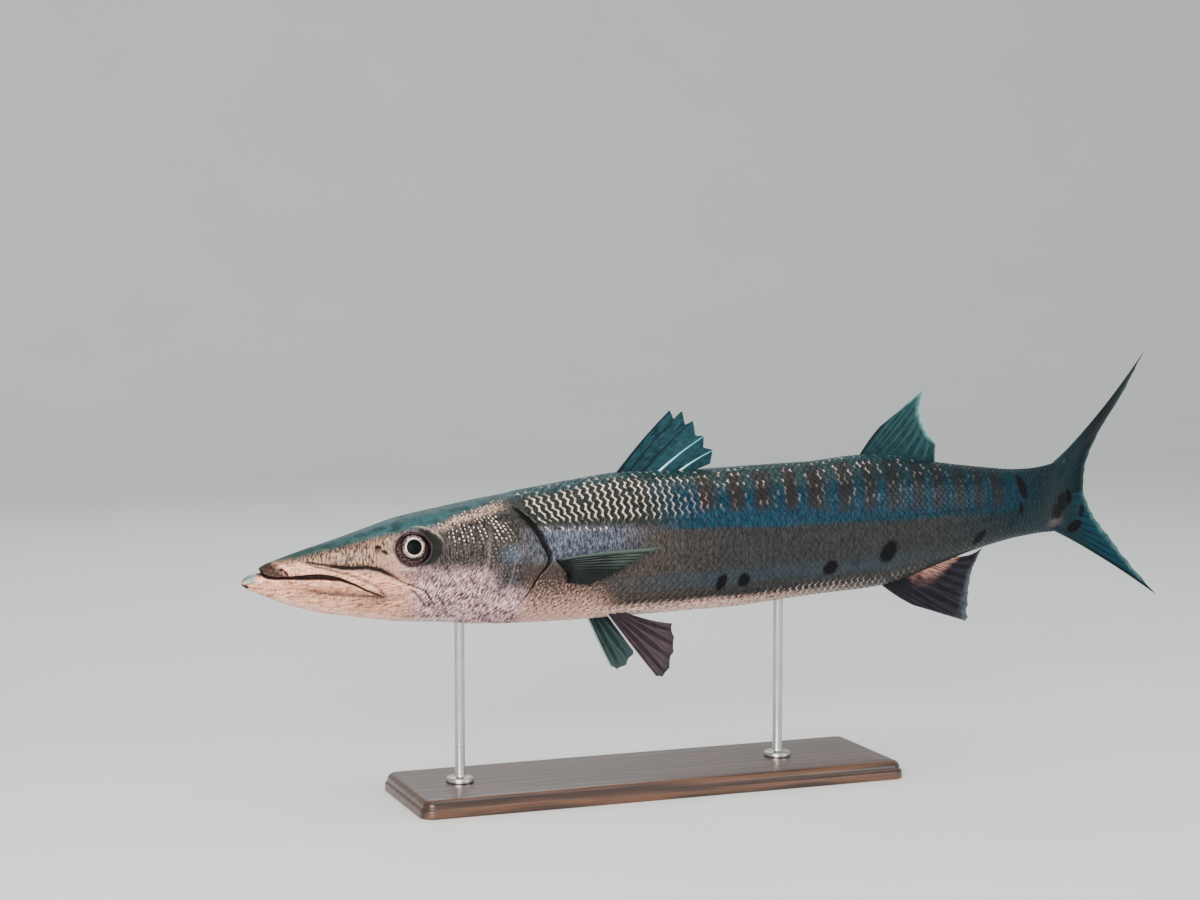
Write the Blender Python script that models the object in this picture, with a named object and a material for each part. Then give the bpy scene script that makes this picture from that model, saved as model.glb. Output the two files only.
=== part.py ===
"""A life-size barracuda, held still on a plain display stand.

The fish is drawn in its own frame, in millimetres: x runs from the tip of the upper
jaw along the body's midline to the tail, y to the fish's right, z up. place() bends
the tail, tips the nose down a little and sets the fish over its stand, in metres.
"""

import math
import random

import bmesh
import bpy
import numpy as np

# Main sizes
MM = 0.001
GAP = 0.3
GILL_EDGE = 250.0
BODY_SPLIT = 470.0
TAIL_SPLIT = 702.0

# Pose: the tail sweeps to the fish's right along one arc, and the nose points down a little
BEND_START, BEND_END = 700.0, 880.0
BEND_ANGLE = math.radians(19.5)
NOSE_DOWN = math.radians(1.8)
STAND_X = 400.0
AXIS_HEIGHT = 245.0

# Outlines of the body from the side: (x, z)
BACK_LINE = [
    (-18, -14.5), (-14, -10.8), (-8, -8.6), (-1.5, -8), (0.6, -2.5), (5, 0.2), (14, 3.1),
    (43, 11.4), (71, 18.2), (112, 29), (137, 35.6), (163, 40), (210, 46.7), (266, 54),
    (320, 60.5), (372, 65.4), (449, 62.8), (521, 63), (579, 62.8), (640, 66), (672, 64.5),
    (703, 58.5), (734, 52.5), (767, 46.9), (802, 41.5), (840, 36.6), (870, 35.4), (905, 38),
]
BELLY_LINE = [
    (-18, -18.5), (-14, -21.5), (-7, -25.5), (9, -33.3), (26, -41), (41, -46.2), (61, -52),
    (86, -57), (108, -61.3), (133, -66), (157, -68.6), (205, -72.3), (282, -78), (330, -80.3),
    (440, -81.2), (488, -81.6), (546, -78.6), (605, -76.3), (640, -75.5), (670, -73),
    (701, -65.8), (732, -56.8), (765, -48.6), (800, -42.3), (839, -38.3), (870, -37.5),
    (905, -39),
]
# Half the width, seen from above: (x, y)
HALF_WIDTH = [
    (-18, 3), (-14, 5.2), (-8, 7.2), (0, 8.8), (20, 11.5), (50, 16.5), (80, 22.5), (110, 29),
    (144, 35), (180, 40), (230, 45), (300, 48), (400, 48.5), (520, 47), (640, 41.5),
    (720, 33), (800, 25), (850, 19.5), (885, 12), (905, 5),
]
# Height of the widest line along the flank: (x, z)
WIDEST_LINE = [
    (-18, -16.5), (0, -16), (50, -18), (100, -16), (144, -9), (200, -10), (300, -9),
    (450, -8), (620, -5), (760, -1), (905, 0),
]
# Exponent of each section's arch above and below the widest line: 2 is an ellipse
ROOF_ARCH = [(-18, 2), (0, 2.1), (60, 2.5), (144, 2.8), (200, 2.4), (270, 2.1), (905, 2)]
KEEL_ARCH = [(-18, 2), (0, 2), (90, 1.9), (160, 2), (260, 2.15), (905, 2)]

# Rear edge of the gill covers, seen from the side: (z, x)
GILL_LINE = [
    (-90, 206), (-72, 222), (-64, 238), (-52, 250), (-27, 266), (-11.5, 277), (5, 271),
    (24, 261), (38, 250), (54, 243), (70, 240),
]
# Front edge of the gill covers along the cheek: (z, x)
CHEEK_LINE = [(-60, 216), (-46, 221), (-33, 223), (-13, 230), (14, 229), (30, 224)]
COVER_TOP, COVER_BOTTOM = 30.0, -58.0
COVER_DEPTH, COVER_PROUD, COVER_SHORT, COVER_STEP = 5.0, 1.2, 2.0, 0.15
POCKET_PROUD, POCKET_REAR = 3.0, 8.0
# How far before and behind the gill edge the rings lean, and the sunk strip just behind it
LEAN_BEFORE, LEAN_BEHIND = 90.0, 110.0
SLIT_DEPTH, SLIT_REACH = 2.4, 5.0

# Mouth, from the notch behind the chin's tip back to the corner and down the jaw's rear: (x, z)
MOUTH_LINE = [
    (-0.4, 12), (-0.3, -7), (1, -9.6), (5, -10.9), (26, -15), (52, -16.5), (65, -18.5),
    (83, -23), (102, -31), (115, -37), (134, -42.5), (152, -50), (159, -62), (162, -84),
]
MOUTH_GAP = 0.6
# Grooves of the face, cut along its surface: radius, then (x, z)
FACE_GROOVES = [
    (1.0, [(30, 3.2), (41, 0.8), (54, -2), (65, -4.2), (77, -6.6), (88, -8.2), (101, -8.6),
           (112, -10.6), (119, -15), (126, -19.8), (133, -25), (137, -32), (136, -39)]),
    (0.8, [(48, -6), (56, -8), (65, -10), (75, -12.4), (85, -15.4), (94, -18.6), (101, -22),
           (108, -26), (112, -31)]),
    (0.8, [(40, -30), (52, -32), (66, -34.5), (80, -36.5), (94, -38.5), (107, -41), (120, -45)]),
    (0.7, [(142, -30), (147, -37), (151, -44)]),
    (0.8, [(222, 26), (215, 10), (211, -6), (207, -20), (200, -34), (190, -46)]),
]
GROOVE_END = 0.45
# Nostrils: centre on the face, half length and half height, and how deep
NOSTRILS = [(111, 11.7, 1.6, 1.5), (117.5, 7, 2.6, 0.9)]
NOSTRIL_DEPTH = 1.8
MOUTH_DEPTH = 60.0

# Eyes: centre on the face, half sizes, how deep the ball sits and how far it faces outward
EYE_X, EYE_Z = 144.0, 8.1
EYE_HALF = (16.4, 12.0, 15.4)
EYE_SUNK = 7.0
EYE_SPLAY = 0.4
LID_HALF = (15.9, 15.0)
LID_RADIUS = 2.3

# Rings along the body, by nominal x, and points from back to belly on each side
HEAD_RINGS = [
    -18, -17, -14.5, -11, -6.5, -1.6, 0.7, 3, 7, 13, 21, 30, 40, 50, 60, 70, 80, 90, 100, 110,
    119, 128, 136, 144, 152, 161, 171, 182, 193, 204, 215, 226, 237, 244, 249.85,
]
BODY_RINGS = [250.15, 253, 257, 263, 272, 285, 305, 330, 360, 395, 430, 469.85]
REAR_RINGS = [470.15, 505, 540, 575, 608, 640, 658, 674, 688, 701.85]
TAIL_RINGS = [702.15, 716, 732, 750, 770, 790, 812, 835, 856, 874, 890, 905]
SIDE_POINTS = 18

# First dorsal fin: foot and tip of each spine, and the membrane's edge behind it
SPINES = [
    ((370, 65.4), (429, 124.8)), ((381, 65.2), (442, 122.9)), ((396, 64.6), (454, 112.4)),
    ((413, 64), (466, 96.2)), ((435, 63.2), (475, 80.8)),
]
SPINE_NOTCHES = [(435, 114.5), (446, 109.5), (457, 97.5), (465, 85.5)]
SAIL_END_FOOT, SAIL_END_TIP = (446, 59.4), (472, 67.4)
# How far the feet start inside the back, and how far spines and membrane bow forward: (x, z)
SPINE_SINK = (-3.0, -5.0)
SPINE_BOW, MEMBRANE_BOW = (-3.0, 2.0), (-2.0, 1.0)

# Half thickness of each fin: at its foot, on a ray, on the membrane and at the outer edge
SPINY_THICK = (1.7, 1.0, 0.32, 0.3)
SOFT_THICK = (1.8, 0.65, 0.3, 0.25)
TAIL_THICK = (3.6, 0.8, 0.35, 0.3)
PECTORAL_THICK = (1.7, 0.55, 0.28, 0.22)
PELVIC_THICK = (1.9, 0.7, 0.3, 0.25)
# Shares of a ray's length: where it starts to taper, the thick foot, and the notch between tips
TAPER_START = 0.3
FOOT_SHARE, TAIL_FOOT_SHARE = 0.16, 0.3
NOTCH = 0.03
RAY_WANDER = 0.6
ROOT_SINK = 6.0

# Soft fins: root, halfway and tip of rays, read along each fin
RAY_PARTS = ("root", "mid", "tip")
SECOND_DORSAL = {
    "root": [(642, 65), (655, 65.5), (672, 64), (700, 58.5), (731, 52.5)],
    "mid": [(655, 84), (680, 92), (696, 82), (712, 72), (731, 63)],
    "tip": [(668, 95), (720, 131.5), (714, 109), (720, 88), (733, 72)],
}
ANAL = {
    "root": [(664, -73), (680, -71), (704, -65), (728, -57), (754, -51)],
    "mid": [(684, -90), (718, -100), (740, -86), (756, -70), (774, -56)],
    "tip": [(704, -99.5), (771, -123.5), (772, -98), (776, -73), (792, -44.5)],
}
CAUDAL_UPPER = {
    "root": [(905, 37), (905, 28), (905, 18), (905, 9), (905, 0.2)],
    "mid": [(973, 71), (960, 54), (942, 35), (933, 17), (930, 0.2)],
    "tip": [(1066, 150.5), (1038, 108), (996, 65), (967, 28), (955, 0.2)],
}
CAUDAL_LOWER = {
    "root": [(905, -38), (905, -28), (905, -18), (905, -9), (905, -0.2)],
    "mid": [(976, -68), (962, -54), (946, -37), (934, -18), (930, -0.2)],
    "tip": [(1087, -132.5), (1038, -88), (1003, -54), (974, -26), (955, -0.2)],
}
PECTORAL = {
    "root": [(286, -12), (289, -17), (293, -22), (297, -27), (301, -32)],
    "mid": [(336, -4), (334, -11), (328, -19), (318, -27), (308, -33)],
    "tip": [(392, -5.5), (372, -14), (353, -23), (333, -32), (315, -37)],
}
PELVIC_LEFT = {
    "root": [(345, -72), (348, -72), (352, -72), (356, -72), (361, -72)],
    "mid": [(370, -112), (379, -111), (386, -103), (389, -94), (387, -85)],
    "tip": [(392, -143), (402, -141), (411, -125), (414, -106), (412, -88)],
}
PELVIC_RIGHT = {
    "root": [(336, -72), (340, -72), (345, -72), (350, -72), (356, -72)],
    "mid": [(349, -108), (357, -109), (365, -104), (371, -97), (373, -89)],
    "tip": [(365, -137.5), (374, -141), (387, -133), (393, -116), (392, -98)],
}
# How far each fin part stands out from the midplane, or past the flank for the pectorals
PELVIC_OUT = {"left": (19.0, 26.0, 33.0), "right": (19.0, 21.0, 23.0)}
PECTORAL_OUT = (-3.0, 7.0, 15.0)
PECTORAL_CUP = (-26.0, 6.0)
# How far the middle rays of each tail lobe trail to one side
TAIL_LAG = {"upper": 9.0, "lower": 3.0}

# Stand
BASE_SIZE = (520.0, 150.0, 18.0)
BASE_BEVEL, BASE_CORNER = 4.0, 14.0
ROD_X = (198.0, 545.0)
ROD_RADIUS = 5.0
ROD_DEPTH = 24.0
SOCKET_BELOW = 30.0
FOOT_RADIUS, FOOT_HEIGHT = 14.0, 5.0

# Plain colours of the solids
SKIN_SILVER = (0.42, 0.38, 0.36)
JAW_PINK = (0.55, 0.46, 0.42)
EYE_BLACK = (0.02, 0.02, 0.025)
FIN_DARK = (0.05, 0.09, 0.12)
FIN_TEAL = (0.07, 0.22, 0.26)
FIN_GREEN = (0.10, 0.14, 0.14)
FIN_PURPLE = (0.28, 0.24, 0.27)
WOOD = (0.12, 0.07, 0.04)
STEEL = (0.72, 0.70, 0.66)


def clear_scene():
    for obj in list(bpy.data.objects):
        bpy.data.objects.remove(obj, do_unlink=True)


def smooth_line(points):
    """A curve through the points that never overshoots them, as a function of the first value."""
    xs = np.array([p[0] for p in points], float)
    ys = np.array([p[1] for p in points], float)
    steps = np.diff(xs)
    slopes = np.diff(ys) / steps
    tangents = np.zeros_like(ys)
    tangents[0], tangents[-1] = slopes[0], slopes[-1]
    for i in range(1, len(xs) - 1):
        before, after = slopes[i - 1], slopes[i]
        if before * after > 0:
            wide, narrow = 2 * steps[i] + steps[i - 1], steps[i] + 2 * steps[i - 1]
            tangents[i] = (wide + narrow) / (wide / before + narrow / after)

    def at(x):
        x = min(max(x, xs[0]), xs[-1])
        i = min(int(np.searchsorted(xs, x, side="right")) - 1, len(steps) - 1)
        h = steps[i]
        t = (x - xs[i]) / h
        return float(
            ys[i] * (1 + 2 * t) * (1 - t) ** 2
            + tangents[i] * h * t * (1 - t) ** 2
            + ys[i + 1] * t * t * (3 - 2 * t)
            + tangents[i + 1] * h * t * t * (t - 1)
        )

    return at


back_at = smooth_line(BACK_LINE)
belly_at = smooth_line(BELLY_LINE)
width_at = smooth_line(HALF_WIDTH)
widest_at = smooth_line(WIDEST_LINE)
roof_at = smooth_line(ROOF_ARCH)
keel_at = smooth_line(KEEL_ARCH)
gill_at = smooth_line(GILL_LINE)
cheek_at = smooth_line(CHEEK_LINE)


def ease(t):
    t = min(max(t, 0.0), 1.0)
    return t * t * (3 - 2 * t)


def half_width(x, z, swell=0.0):
    """Distance from the midplane to the flank at a point of the side view."""
    middle = widest_at(x)
    if z >= middle:
        rise, arch = back_at(x) - middle, roof_at(x)
    else:
        rise, arch = middle - belly_at(x), keel_at(x)
    share = min(abs(z - middle) / (rise + swell), 1.0)
    return (width_at(x) + swell) * (1 - share**arch) ** (1 / arch)


def ring_shift(station, z):
    """How far a ring leans back or forward at a height, so that rings follow the gill edge."""
    reach = LEAN_BEFORE if station < GILL_EDGE else LEAN_BEHIND
    share = ease(1 - abs(station - GILL_EDGE) / reach)
    return share * (gill_at(z) - GILL_EDGE)


def body_ring(station, swell=0.0):
    """One closed ring: back, down the left flank, belly, up the right flank."""
    x = station
    middle = widest_at(x)
    top, bottom = back_at(x) + swell, belly_at(x) - swell
    slit = SLIT_DEPTH * math.exp(-(((station - GILL_EDGE) / SLIT_REACH) ** 2))
    if station < GILL_EDGE:
        slit = 0.0
    left = []
    for i in range(SIDE_POINTS + 1):
        angle = math.pi * i / SIDE_POINTS
        rise = (top - middle) if angle < math.pi / 2 else (middle - bottom)
        z = middle + rise * math.cos(angle)
        y = half_width(x, z, swell)
        sunk = slit * math.sin(angle) ** 2 if swell == 0.0 else 0.0
        left.append((x + ring_shift(station, z), -max(y - sunk, 0.0), z))
    left[0] = (left[0][0], 0.0, top)
    left[-1] = (left[-1][0], 0.0, bottom)
    right = [(px, -py, pz) for px, py, pz in left[-2:0:-1]]
    return left + right


def place(point):
    """From the fish's own frame to its place over the stand, in metres."""
    x, y, z = point
    if x > BEND_START:
        radius = (BEND_END - BEND_START) / BEND_ANGLE
        turn = min((x - BEND_START) / radius, BEND_ANGLE)
        past = max(x - BEND_END, 0.0)
        x = BEND_START + (radius - y) * math.sin(turn) + past * math.cos(turn)
        y = radius - (radius - y) * math.cos(turn) + past * math.sin(turn)
    along = x * math.cos(NOSE_DOWN) - z * math.sin(NOSE_DOWN)
    height = x * math.sin(NOSE_DOWN) + z * math.cos(NOSE_DOWN)
    return ((along - STAND_X) * MM, y * MM, (height + AXIS_HEIGHT) * MM)


def mesh_object(name, points, faces, collection=None):
    mesh = bpy.data.meshes.new(name)
    mesh.from_pydata([tuple(p) for p in points], [], faces)
    mesh.validate()
    build = bmesh.new()
    build.from_mesh(mesh)
    bmesh.ops.triangulate(build, faces=[f for f in build.faces if len(f.verts) > 4])
    bmesh.ops.recalc_face_normals(build, faces=build.faces)
    build.to_mesh(mesh)
    build.free()
    obj = bpy.data.objects.new(name, mesh)
    (collection or bpy.context.scene.collection).objects.link(obj)
    return obj


def finish(obj, colour, roughness=0.35, metallic=0.0, crease=40.0):
    material = bpy.data.materials.new(obj.name)
    material.use_nodes = True
    shader = material.node_tree.nodes["Principled BSDF"]
    shader.inputs["Base Color"].default_value = (*colour, 1.0)
    shader.inputs["Roughness"].default_value = roughness
    shader.inputs["Metallic"].default_value = metallic
    obj.data.materials.clear()
    obj.data.materials.append(material)
    obj.data.shade_smooth()
    obj.data.set_sharp_from_angle(angle=math.radians(crease))
    return obj


def loft(name, rings, placed=True, collection=None):
    """A closed tube through rings of equal count, its ends closed by level strips."""
    count = len(rings[0])
    points = [place(p) if placed else p for ring in rings for p in ring]
    faces = []
    for i in range(len(rings) - 1):
        for j in range(count):
            a, b = i * count + j, i * count + (j + 1) % count
            faces += [(a, b, b + count), (a, b + count, a + count)]
    for start in (0, (len(rings) - 1) * count):
        faces.append((start, start + 1, start + count - 1))
        for j in range(1, count // 2 - 1):
            a, b = start + j, start + count - j
            faces += [(a, a + 1, b - 1), (a, b - 1, b)]
        middle = start + count // 2
        faces.append((middle - 1, middle, middle + 1))
    return mesh_object(name, points, faces, collection)


def sweep(name, path, section, collection=None):
    """A closed solid with the same section at each point of a path; section(i) gives its corners."""
    corners = [section(i) for i in range(len(path))]
    count = len(corners[0])
    points = [place(p) for ring in corners for p in ring]
    faces = []
    for i in range(len(path) - 1):
        for j in range(count):
            a, b = i * count + j, i * count + (j + 1) % count
            faces.append((a, b, b + count, a + count))
    faces.append(tuple(range(count)))
    faces.append(tuple(range((len(path) - 1) * count, len(path) * count)))
    return mesh_object(name, points, faces, collection)


def unit(vector):
    vector = np.array(vector, float)
    return vector / np.linalg.norm(vector)


def face_normal(x, z, side):
    """Outward direction of the flank at a point of the side view."""
    step = 2.0
    along = (half_width(x + step, z) - half_width(x - step, z)) / (2 * step)
    up = (half_width(x, z + step) - half_width(x, z - step)) / (2 * step)
    return unit((-along, side, -up))


def on_face(x, z, side):
    return np.array((x, side * half_width(x, z), z))


def groove_tube(points, radius, side, collection, sides=4):
    """A tube along the face, half of it below the skin."""
    path = [on_face(x, z, side) for x, z in points]

    def section(i):
        ahead = unit(path[min(i + 1, len(path) - 1)] - path[max(i - 1, 0)])
        out = face_normal(*points[i], side)
        across = unit(np.cross(ahead, out))
        out = np.cross(across, ahead)
        size = radius * (GROOVE_END if i in (0, len(path) - 1) else 1.0)
        turns = [2 * math.pi * k / sides for k in range(sides)]
        return [path[i] + size * (math.cos(a) * out + math.sin(a) * across) for a in turns]

    return sweep("groove", path, section, collection)


def mouth_band(collection):
    """A thin sheet through the head along the line of the mouth."""
    line = [np.array(p, float) for p in MOUTH_LINE]

    def section(i):
        along = unit(line[min(i + 1, len(line) - 1)] - line[max(i - 1, 0)])
        off = np.array((-along[1], along[0])) * MOUTH_GAP / 2
        low, high = line[i] - off, line[i] + off
        return [
            (low[0], -MOUTH_DEPTH, low[1]), (high[0], -MOUTH_DEPTH, high[1]),
            (high[0], MOUTH_DEPTH, high[1]), (low[0], MOUTH_DEPTH, low[1]),
        ]

    return sweep("mouth_band", line, section, collection)


def ball(name, centre, axes, halves, rows, columns, collection=None):
    """A closed ellipsoid; axes are three unit vectors, the last one its pole."""
    points = [np.array(centre) + axes[2] * halves[2]]
    for i in range(1, rows):
        polar = math.pi * i / rows
        for j in range(columns):
            turn = 2 * math.pi * j / columns
            points.append(
                np.array(centre)
                + axes[0] * halves[0] * math.sin(polar) * math.cos(turn)
                + axes[1] * halves[1] * math.sin(polar) * math.sin(turn)
                + axes[2] * halves[2] * math.cos(polar)
            )
    points.append(np.array(centre) - axes[2] * halves[2])
    last = len(points) - 1
    faces = []
    for j in range(columns):
        k = (j + 1) % columns
        faces.append((0, 1 + j, 1 + k))
        faces.append((last, last - columns + k, last - columns + j))
        for i in range(rows - 2):
            a, b = 1 + i * columns + j, 1 + i * columns + k
            faces += [(a, a + columns, b + columns), (a, b + columns, b)]
    return mesh_object(name, [place(p) for p in points], faces, collection)


def eye_axes(side):
    out = (1 - EYE_SPLAY) * face_normal(EYE_X, EYE_Z, side) + EYE_SPLAY * np.array((0, side, 0))
    out = unit(out)
    up = unit(np.array((0, 0, 1.0)) - out * out[2])
    return np.cross(up, out), up, out


def eye_ball(name, side, swell, collection=None, rows=8, columns=16):
    along, up, out = eye_axes(side)
    centre = on_face(EYE_X, EYE_Z, side) - out * EYE_SUNK
    halves = (EYE_HALF[0] + swell, EYE_HALF[2] + swell, EYE_HALF[1] + swell)
    return ball(name, centre, (along, up, out), halves, rows, columns, collection)


def lid_ring(side, collection, around=20, sides=5):
    """The thick rim of skin round the eye, laid on the face."""
    along, up, _ = eye_axes(side)
    centre = on_face(EYE_X, EYE_Z, side)
    points, faces = [], []
    for i in range(around):
        turn = 2 * math.pi * i / around
        spot = centre + along * LID_HALF[0] * math.cos(turn) + up * LID_HALF[1] * math.sin(turn)
        spot = on_face(spot[0], spot[2], side)
        out = face_normal(spot[0], spot[2], side)
        away = unit(spot - centre)
        away = unit(away - out * np.dot(away, out))
        for j in range(sides):
            a = 2 * math.pi * j / sides
            points.append(place(spot + LID_RADIUS * (math.cos(a) * away + math.sin(a) * out)))
    for i in range(around):
        for j in range(sides):
            a, b = i * sides + j, i * sides + (j + 1) % sides
            c, d = (a + sides) % len(points), (b + sides) % len(points)
            faces += [(a, b, d), (a, d, c)]
    return mesh_object("lid", points, faces, collection)


def cover_patch(name, side, margin, collection=None, rows=10, columns=5):
    """A gill cover, or with a margin the pocket that it lies in."""
    outer, inner = [], []
    for i in range(rows + 1):
        z = COVER_TOP + margin + (COVER_BOTTOM - COVER_TOP - 2 * margin) * i / rows
        rear = gill_at(z) + (POCKET_REAR if margin else -COVER_SHORT)
        front = cheek_at(z) - margin
        for j in range(columns + 1):
            x = front + (rear - front) * j / columns
            y = half_width(min(x, gill_at(z)), z)
            proud = POCKET_PROUD if margin else COVER_PROUD * ease(j / columns) + COVER_STEP
            outer.append((x, side * (y + proud), z))
            inner.append((x, side * (y - COVER_DEPTH - margin), z))
    across = columns + 1
    faces = []
    size = len(outer)
    for i in range(rows):
        for j in range(columns):
            a = i * across + j
            b, c, d = a + 1, a + across + 1, a + across
            faces += [(a, b, c), (a, c, d)]
            faces += [(size + a, size + c, size + b), (size + a, size + d, size + c)]
    rim = [j for j in range(across)]
    rim += [i * across + columns for i in range(1, rows + 1)]
    rim += [rows * across + j for j in range(columns - 1, -1, -1)]
    rim += [i * across for i in range(rows - 1, 0, -1)]
    for k, a in enumerate(rim):
        b = rim[(k + 1) % len(rim)]
        faces += [(a, size + a, size + b), (a, size + b, b)]
    return mesh_object(name, [place(p) for p in outer + inner], faces, collection)


def cut(obj, collection, operation="DIFFERENCE"):
    """Applies one Boolean with all the collection's solids, then removes them."""
    modifier = obj.modifiers.new("cut", "BOOLEAN")
    modifier.operation = operation
    modifier.operand_type = "COLLECTION"
    modifier.collection = collection
    modifier.solver = "EXACT"
    bpy.context.view_layer.update()
    graph = bpy.context.evaluated_depsgraph_get()
    mesh = bpy.data.meshes.new_from_object(obj.evaluated_get(graph))
    obj.modifiers.clear()
    obj.data = mesh
    for helper in list(collection.objects):
        bpy.data.objects.remove(helper, do_unlink=True)
    bpy.data.collections.remove(collection)


def helpers(name):
    collection = bpy.data.collections.new(name)
    bpy.context.scene.collection.children.link(collection)
    return collection


def closed_parts(mesh):
    """The mesh's closed surfaces as sets of vertex numbers, the widest first."""
    build = bmesh.new()
    build.from_mesh(mesh)
    build.verts.ensure_lookup_table()
    seen, parts = set(), []
    for vertex in build.verts:
        if vertex.index in seen:
            continue
        part, stack = set(), [vertex]
        while stack:
            v = stack.pop()
            if v.index in part:
                continue
            part.add(v.index)
            stack += [e.other_vert(v) for e in v.link_edges if e.other_vert(v).index not in part]
        seen |= part
        parts.append(part)
    build.free()
    spread = lambda part: np.ptp([mesh.vertices[i].co[:] for i in part], axis=0).prod()
    return sorted(parts, key=spread, reverse=True)


def keep_part(obj, part):
    build = bmesh.new()
    build.from_mesh(obj.data)
    bmesh.ops.delete(build, geom=[v for v in build.verts if v.index not in part], context="VERTS")
    build.to_mesh(obj.data)
    build.free()


def make_head():
    """The head, with the lower jaw parted from it along the mouth."""
    head = loft("head", [body_ring(s) for s in HEAD_RINGS])
    rims = helpers("rims")
    for side in (-1, 1):
        lid_ring(side, rims)
    cut(head, rims, "UNION")
    cutters = helpers("face_cutters")
    mouth_band(cutters)
    for side in (-1, 1):
        eye_ball("socket", side, GAP, cutters)
        cover_patch("pocket", side, GAP, cutters)
        for radius, line in FACE_GROOVES:
            groove_tube(line, radius, side, cutters)
        for x, z, long, high in NOSTRILS:
            out = face_normal(x, z, side)
            up = unit(np.array((0, 0, 1.0)) - out * out[2])
            axes = (np.cross(up, out), up, out)
            halves = (long, high, NOSTRIL_DEPTH)
            ball("nostril", on_face(x, z, side), axes, halves, 6, 8, cutters)
    cut(head, cutters)
    parts = closed_parts(head.data)
    jaw = bpy.data.objects.new("lower_jaw", head.data.copy())
    bpy.context.scene.collection.objects.link(jaw)
    keep_part(head, parts[0])
    keep_part(jaw, parts[1])
    finish(head, SKIN_SILVER, 0.32)
    finish(jaw, JAW_PINK, 0.32)
    return head


def make_gill_covers():
    for side, word in ((-1, "left"), (1, "right")):
        finish(cover_patch("gill_cover_" + word, side, 0.0), SKIN_SILVER, 0.3)


def make_eyes():
    for side, word in ((-1, "left"), (1, "right")):
        finish(eye_ball("eye_" + word, side, 0.0), EYE_BLACK, 0.08)


def make_body():
    front = loft("body_front", [body_ring(s) for s in BODY_RINGS])
    rear = loft("body_rear", [body_ring(s) for s in REAR_RINGS])
    tail = loft("tail_base", [body_ring(s) for s in TAIL_RINGS])
    for obj in (front, rear, tail):
        finish(obj, SKIN_SILVER, 0.33)
    return rear


def bezier(a, b, c, t):
    return (1 - t) ** 2 * a + 2 * t * (1 - t) * b + t * t * c


def spread_rays(outline, count, side=0, lateral=None, seed=0):
    """Rays spread evenly over a fin's outline, each as its root, halfway and tip."""
    draw = random.Random(seed)
    places = np.linspace(0, 1, len(outline["root"]))
    rays = []
    for i in range(count):
        share = i / (count - 1)
        ray = []
        for part in RAY_PARTS:
            xs = smooth_line([(p, q[0]) for p, q in zip(places, outline[part])])
            zs = smooth_line([(p, q[1]) for p, q in zip(places, outline[part])])
            free = part == "tip" and 0 < i < count - 1
            wander = draw.uniform(-RAY_WANDER, RAY_WANDER) if free else 0.0
            x, z = xs(share) + wander, zs(share)
            ray.append(np.array((x, lateral(part, share, x, z) if lateral else 0.0, z)))
        rays.append(ray)
    return rays


def ray_columns(rays, rows):
    """Centre lines of the rays and of the membrane between them, from root to edge."""
    steps = np.linspace(0, 1, rows + 1)
    columns = []
    for i, (root, mid, tip) in enumerate(rays):
        columns.append([bezier(root, mid, tip, t) for t in steps])
        if i + 1 < len(rays):
            after = rays[i + 1]
            middle = [(a + b) / 2 for a, b in zip((root, mid, tip), after)]
            columns.append([bezier(*middle, t * (1 - NOTCH)) for t in steps])
    return columns


def fin_sheet(name, columns, thicknesses, foot_share=FOOT_SHARE):
    """A closed sheet whose rays stand out of its own two faces."""
    foot, ray, web, tip = thicknesses
    grid = np.array(columns)
    count, rows = grid.shape[:2]
    normal = np.cross(np.gradient(grid, axis=0), np.gradient(grid, axis=1))
    normal /= np.linalg.norm(normal, axis=2, keepdims=True)
    thick = np.zeros((count, rows))
    for i in range(count):
        for j in range(rows):
            v = j / (rows - 1)
            crest = ray if i % 2 == 0 else web
            flat = crest + (tip - crest) * max(v - TAPER_START, 0) / (1 - TAPER_START)
            thick[i, j] = flat + (foot - flat) * (1 - ease(v / foot_share))
    near = grid - normal * thick[:, :, None]
    far = grid + normal * thick[:, :, None]
    points = [place(p) for p in np.concatenate([near.reshape(-1, 3), far.reshape(-1, 3)])]
    size = count * rows
    faces = []
    for i in range(count - 1):
        for j in range(rows - 1):
            a = i * rows + j
            b, c, d = a + rows, a + rows + 1, a + 1
            faces += [(a, b, c), (a, c, d)]
            faces += [(size + a, size + c, size + b), (size + a, size + d, size + c)]
    rim = [i * rows for i in range(count)]
    rim += [(count - 1) * rows + j for j in range(1, rows)]
    rim += [i * rows + rows - 1 for i in range(count - 2, -1, -1)]
    rim += [j for j in range(rows - 2, 0, -1)]
    for k, a in enumerate(rim):
        b = rim[(k + 1) % len(rim)]
        faces += [(a, size + a, size + b), (a, size + b, b)]
    return mesh_object(name, points, faces)


def trim_to_body(obj):
    """Cuts a fin's root to the body's surface, leaving the gap."""
    cutters = helpers("body_cutter")
    rings = HEAD_RINGS[:-1] + [GILL_EDGE] + BODY_RINGS[1:-1] + [BODY_SPLIT] + REAR_RINGS[1:-1]
    rings += [TAIL_SPLIT] + TAIL_RINGS[1:]
    loft("body_cutter", [body_ring(s, GAP) for s in rings], collection=cutters)
    cut(obj, cutters)
    keep_part(obj, closed_parts(obj.data)[0])


def sink(rays):
    """Starts each ray a little inside the body."""
    for ray in rays:
        ray[0] = ray[0] + unit(ray[0] - ray[1]) * ROOT_SINK
    return rays


def on_midplane(point):
    return np.array((point[0], 0.0, point[1]))


def bowed(foot, tip, bow, rows):
    """Points along a spine or a strip of membrane that bows out at its middle."""
    middle = (foot + tip) / 2 + on_midplane(bow)
    return [bezier(foot, middle, tip, t) for t in np.linspace(0, 1, rows + 1)]


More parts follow.
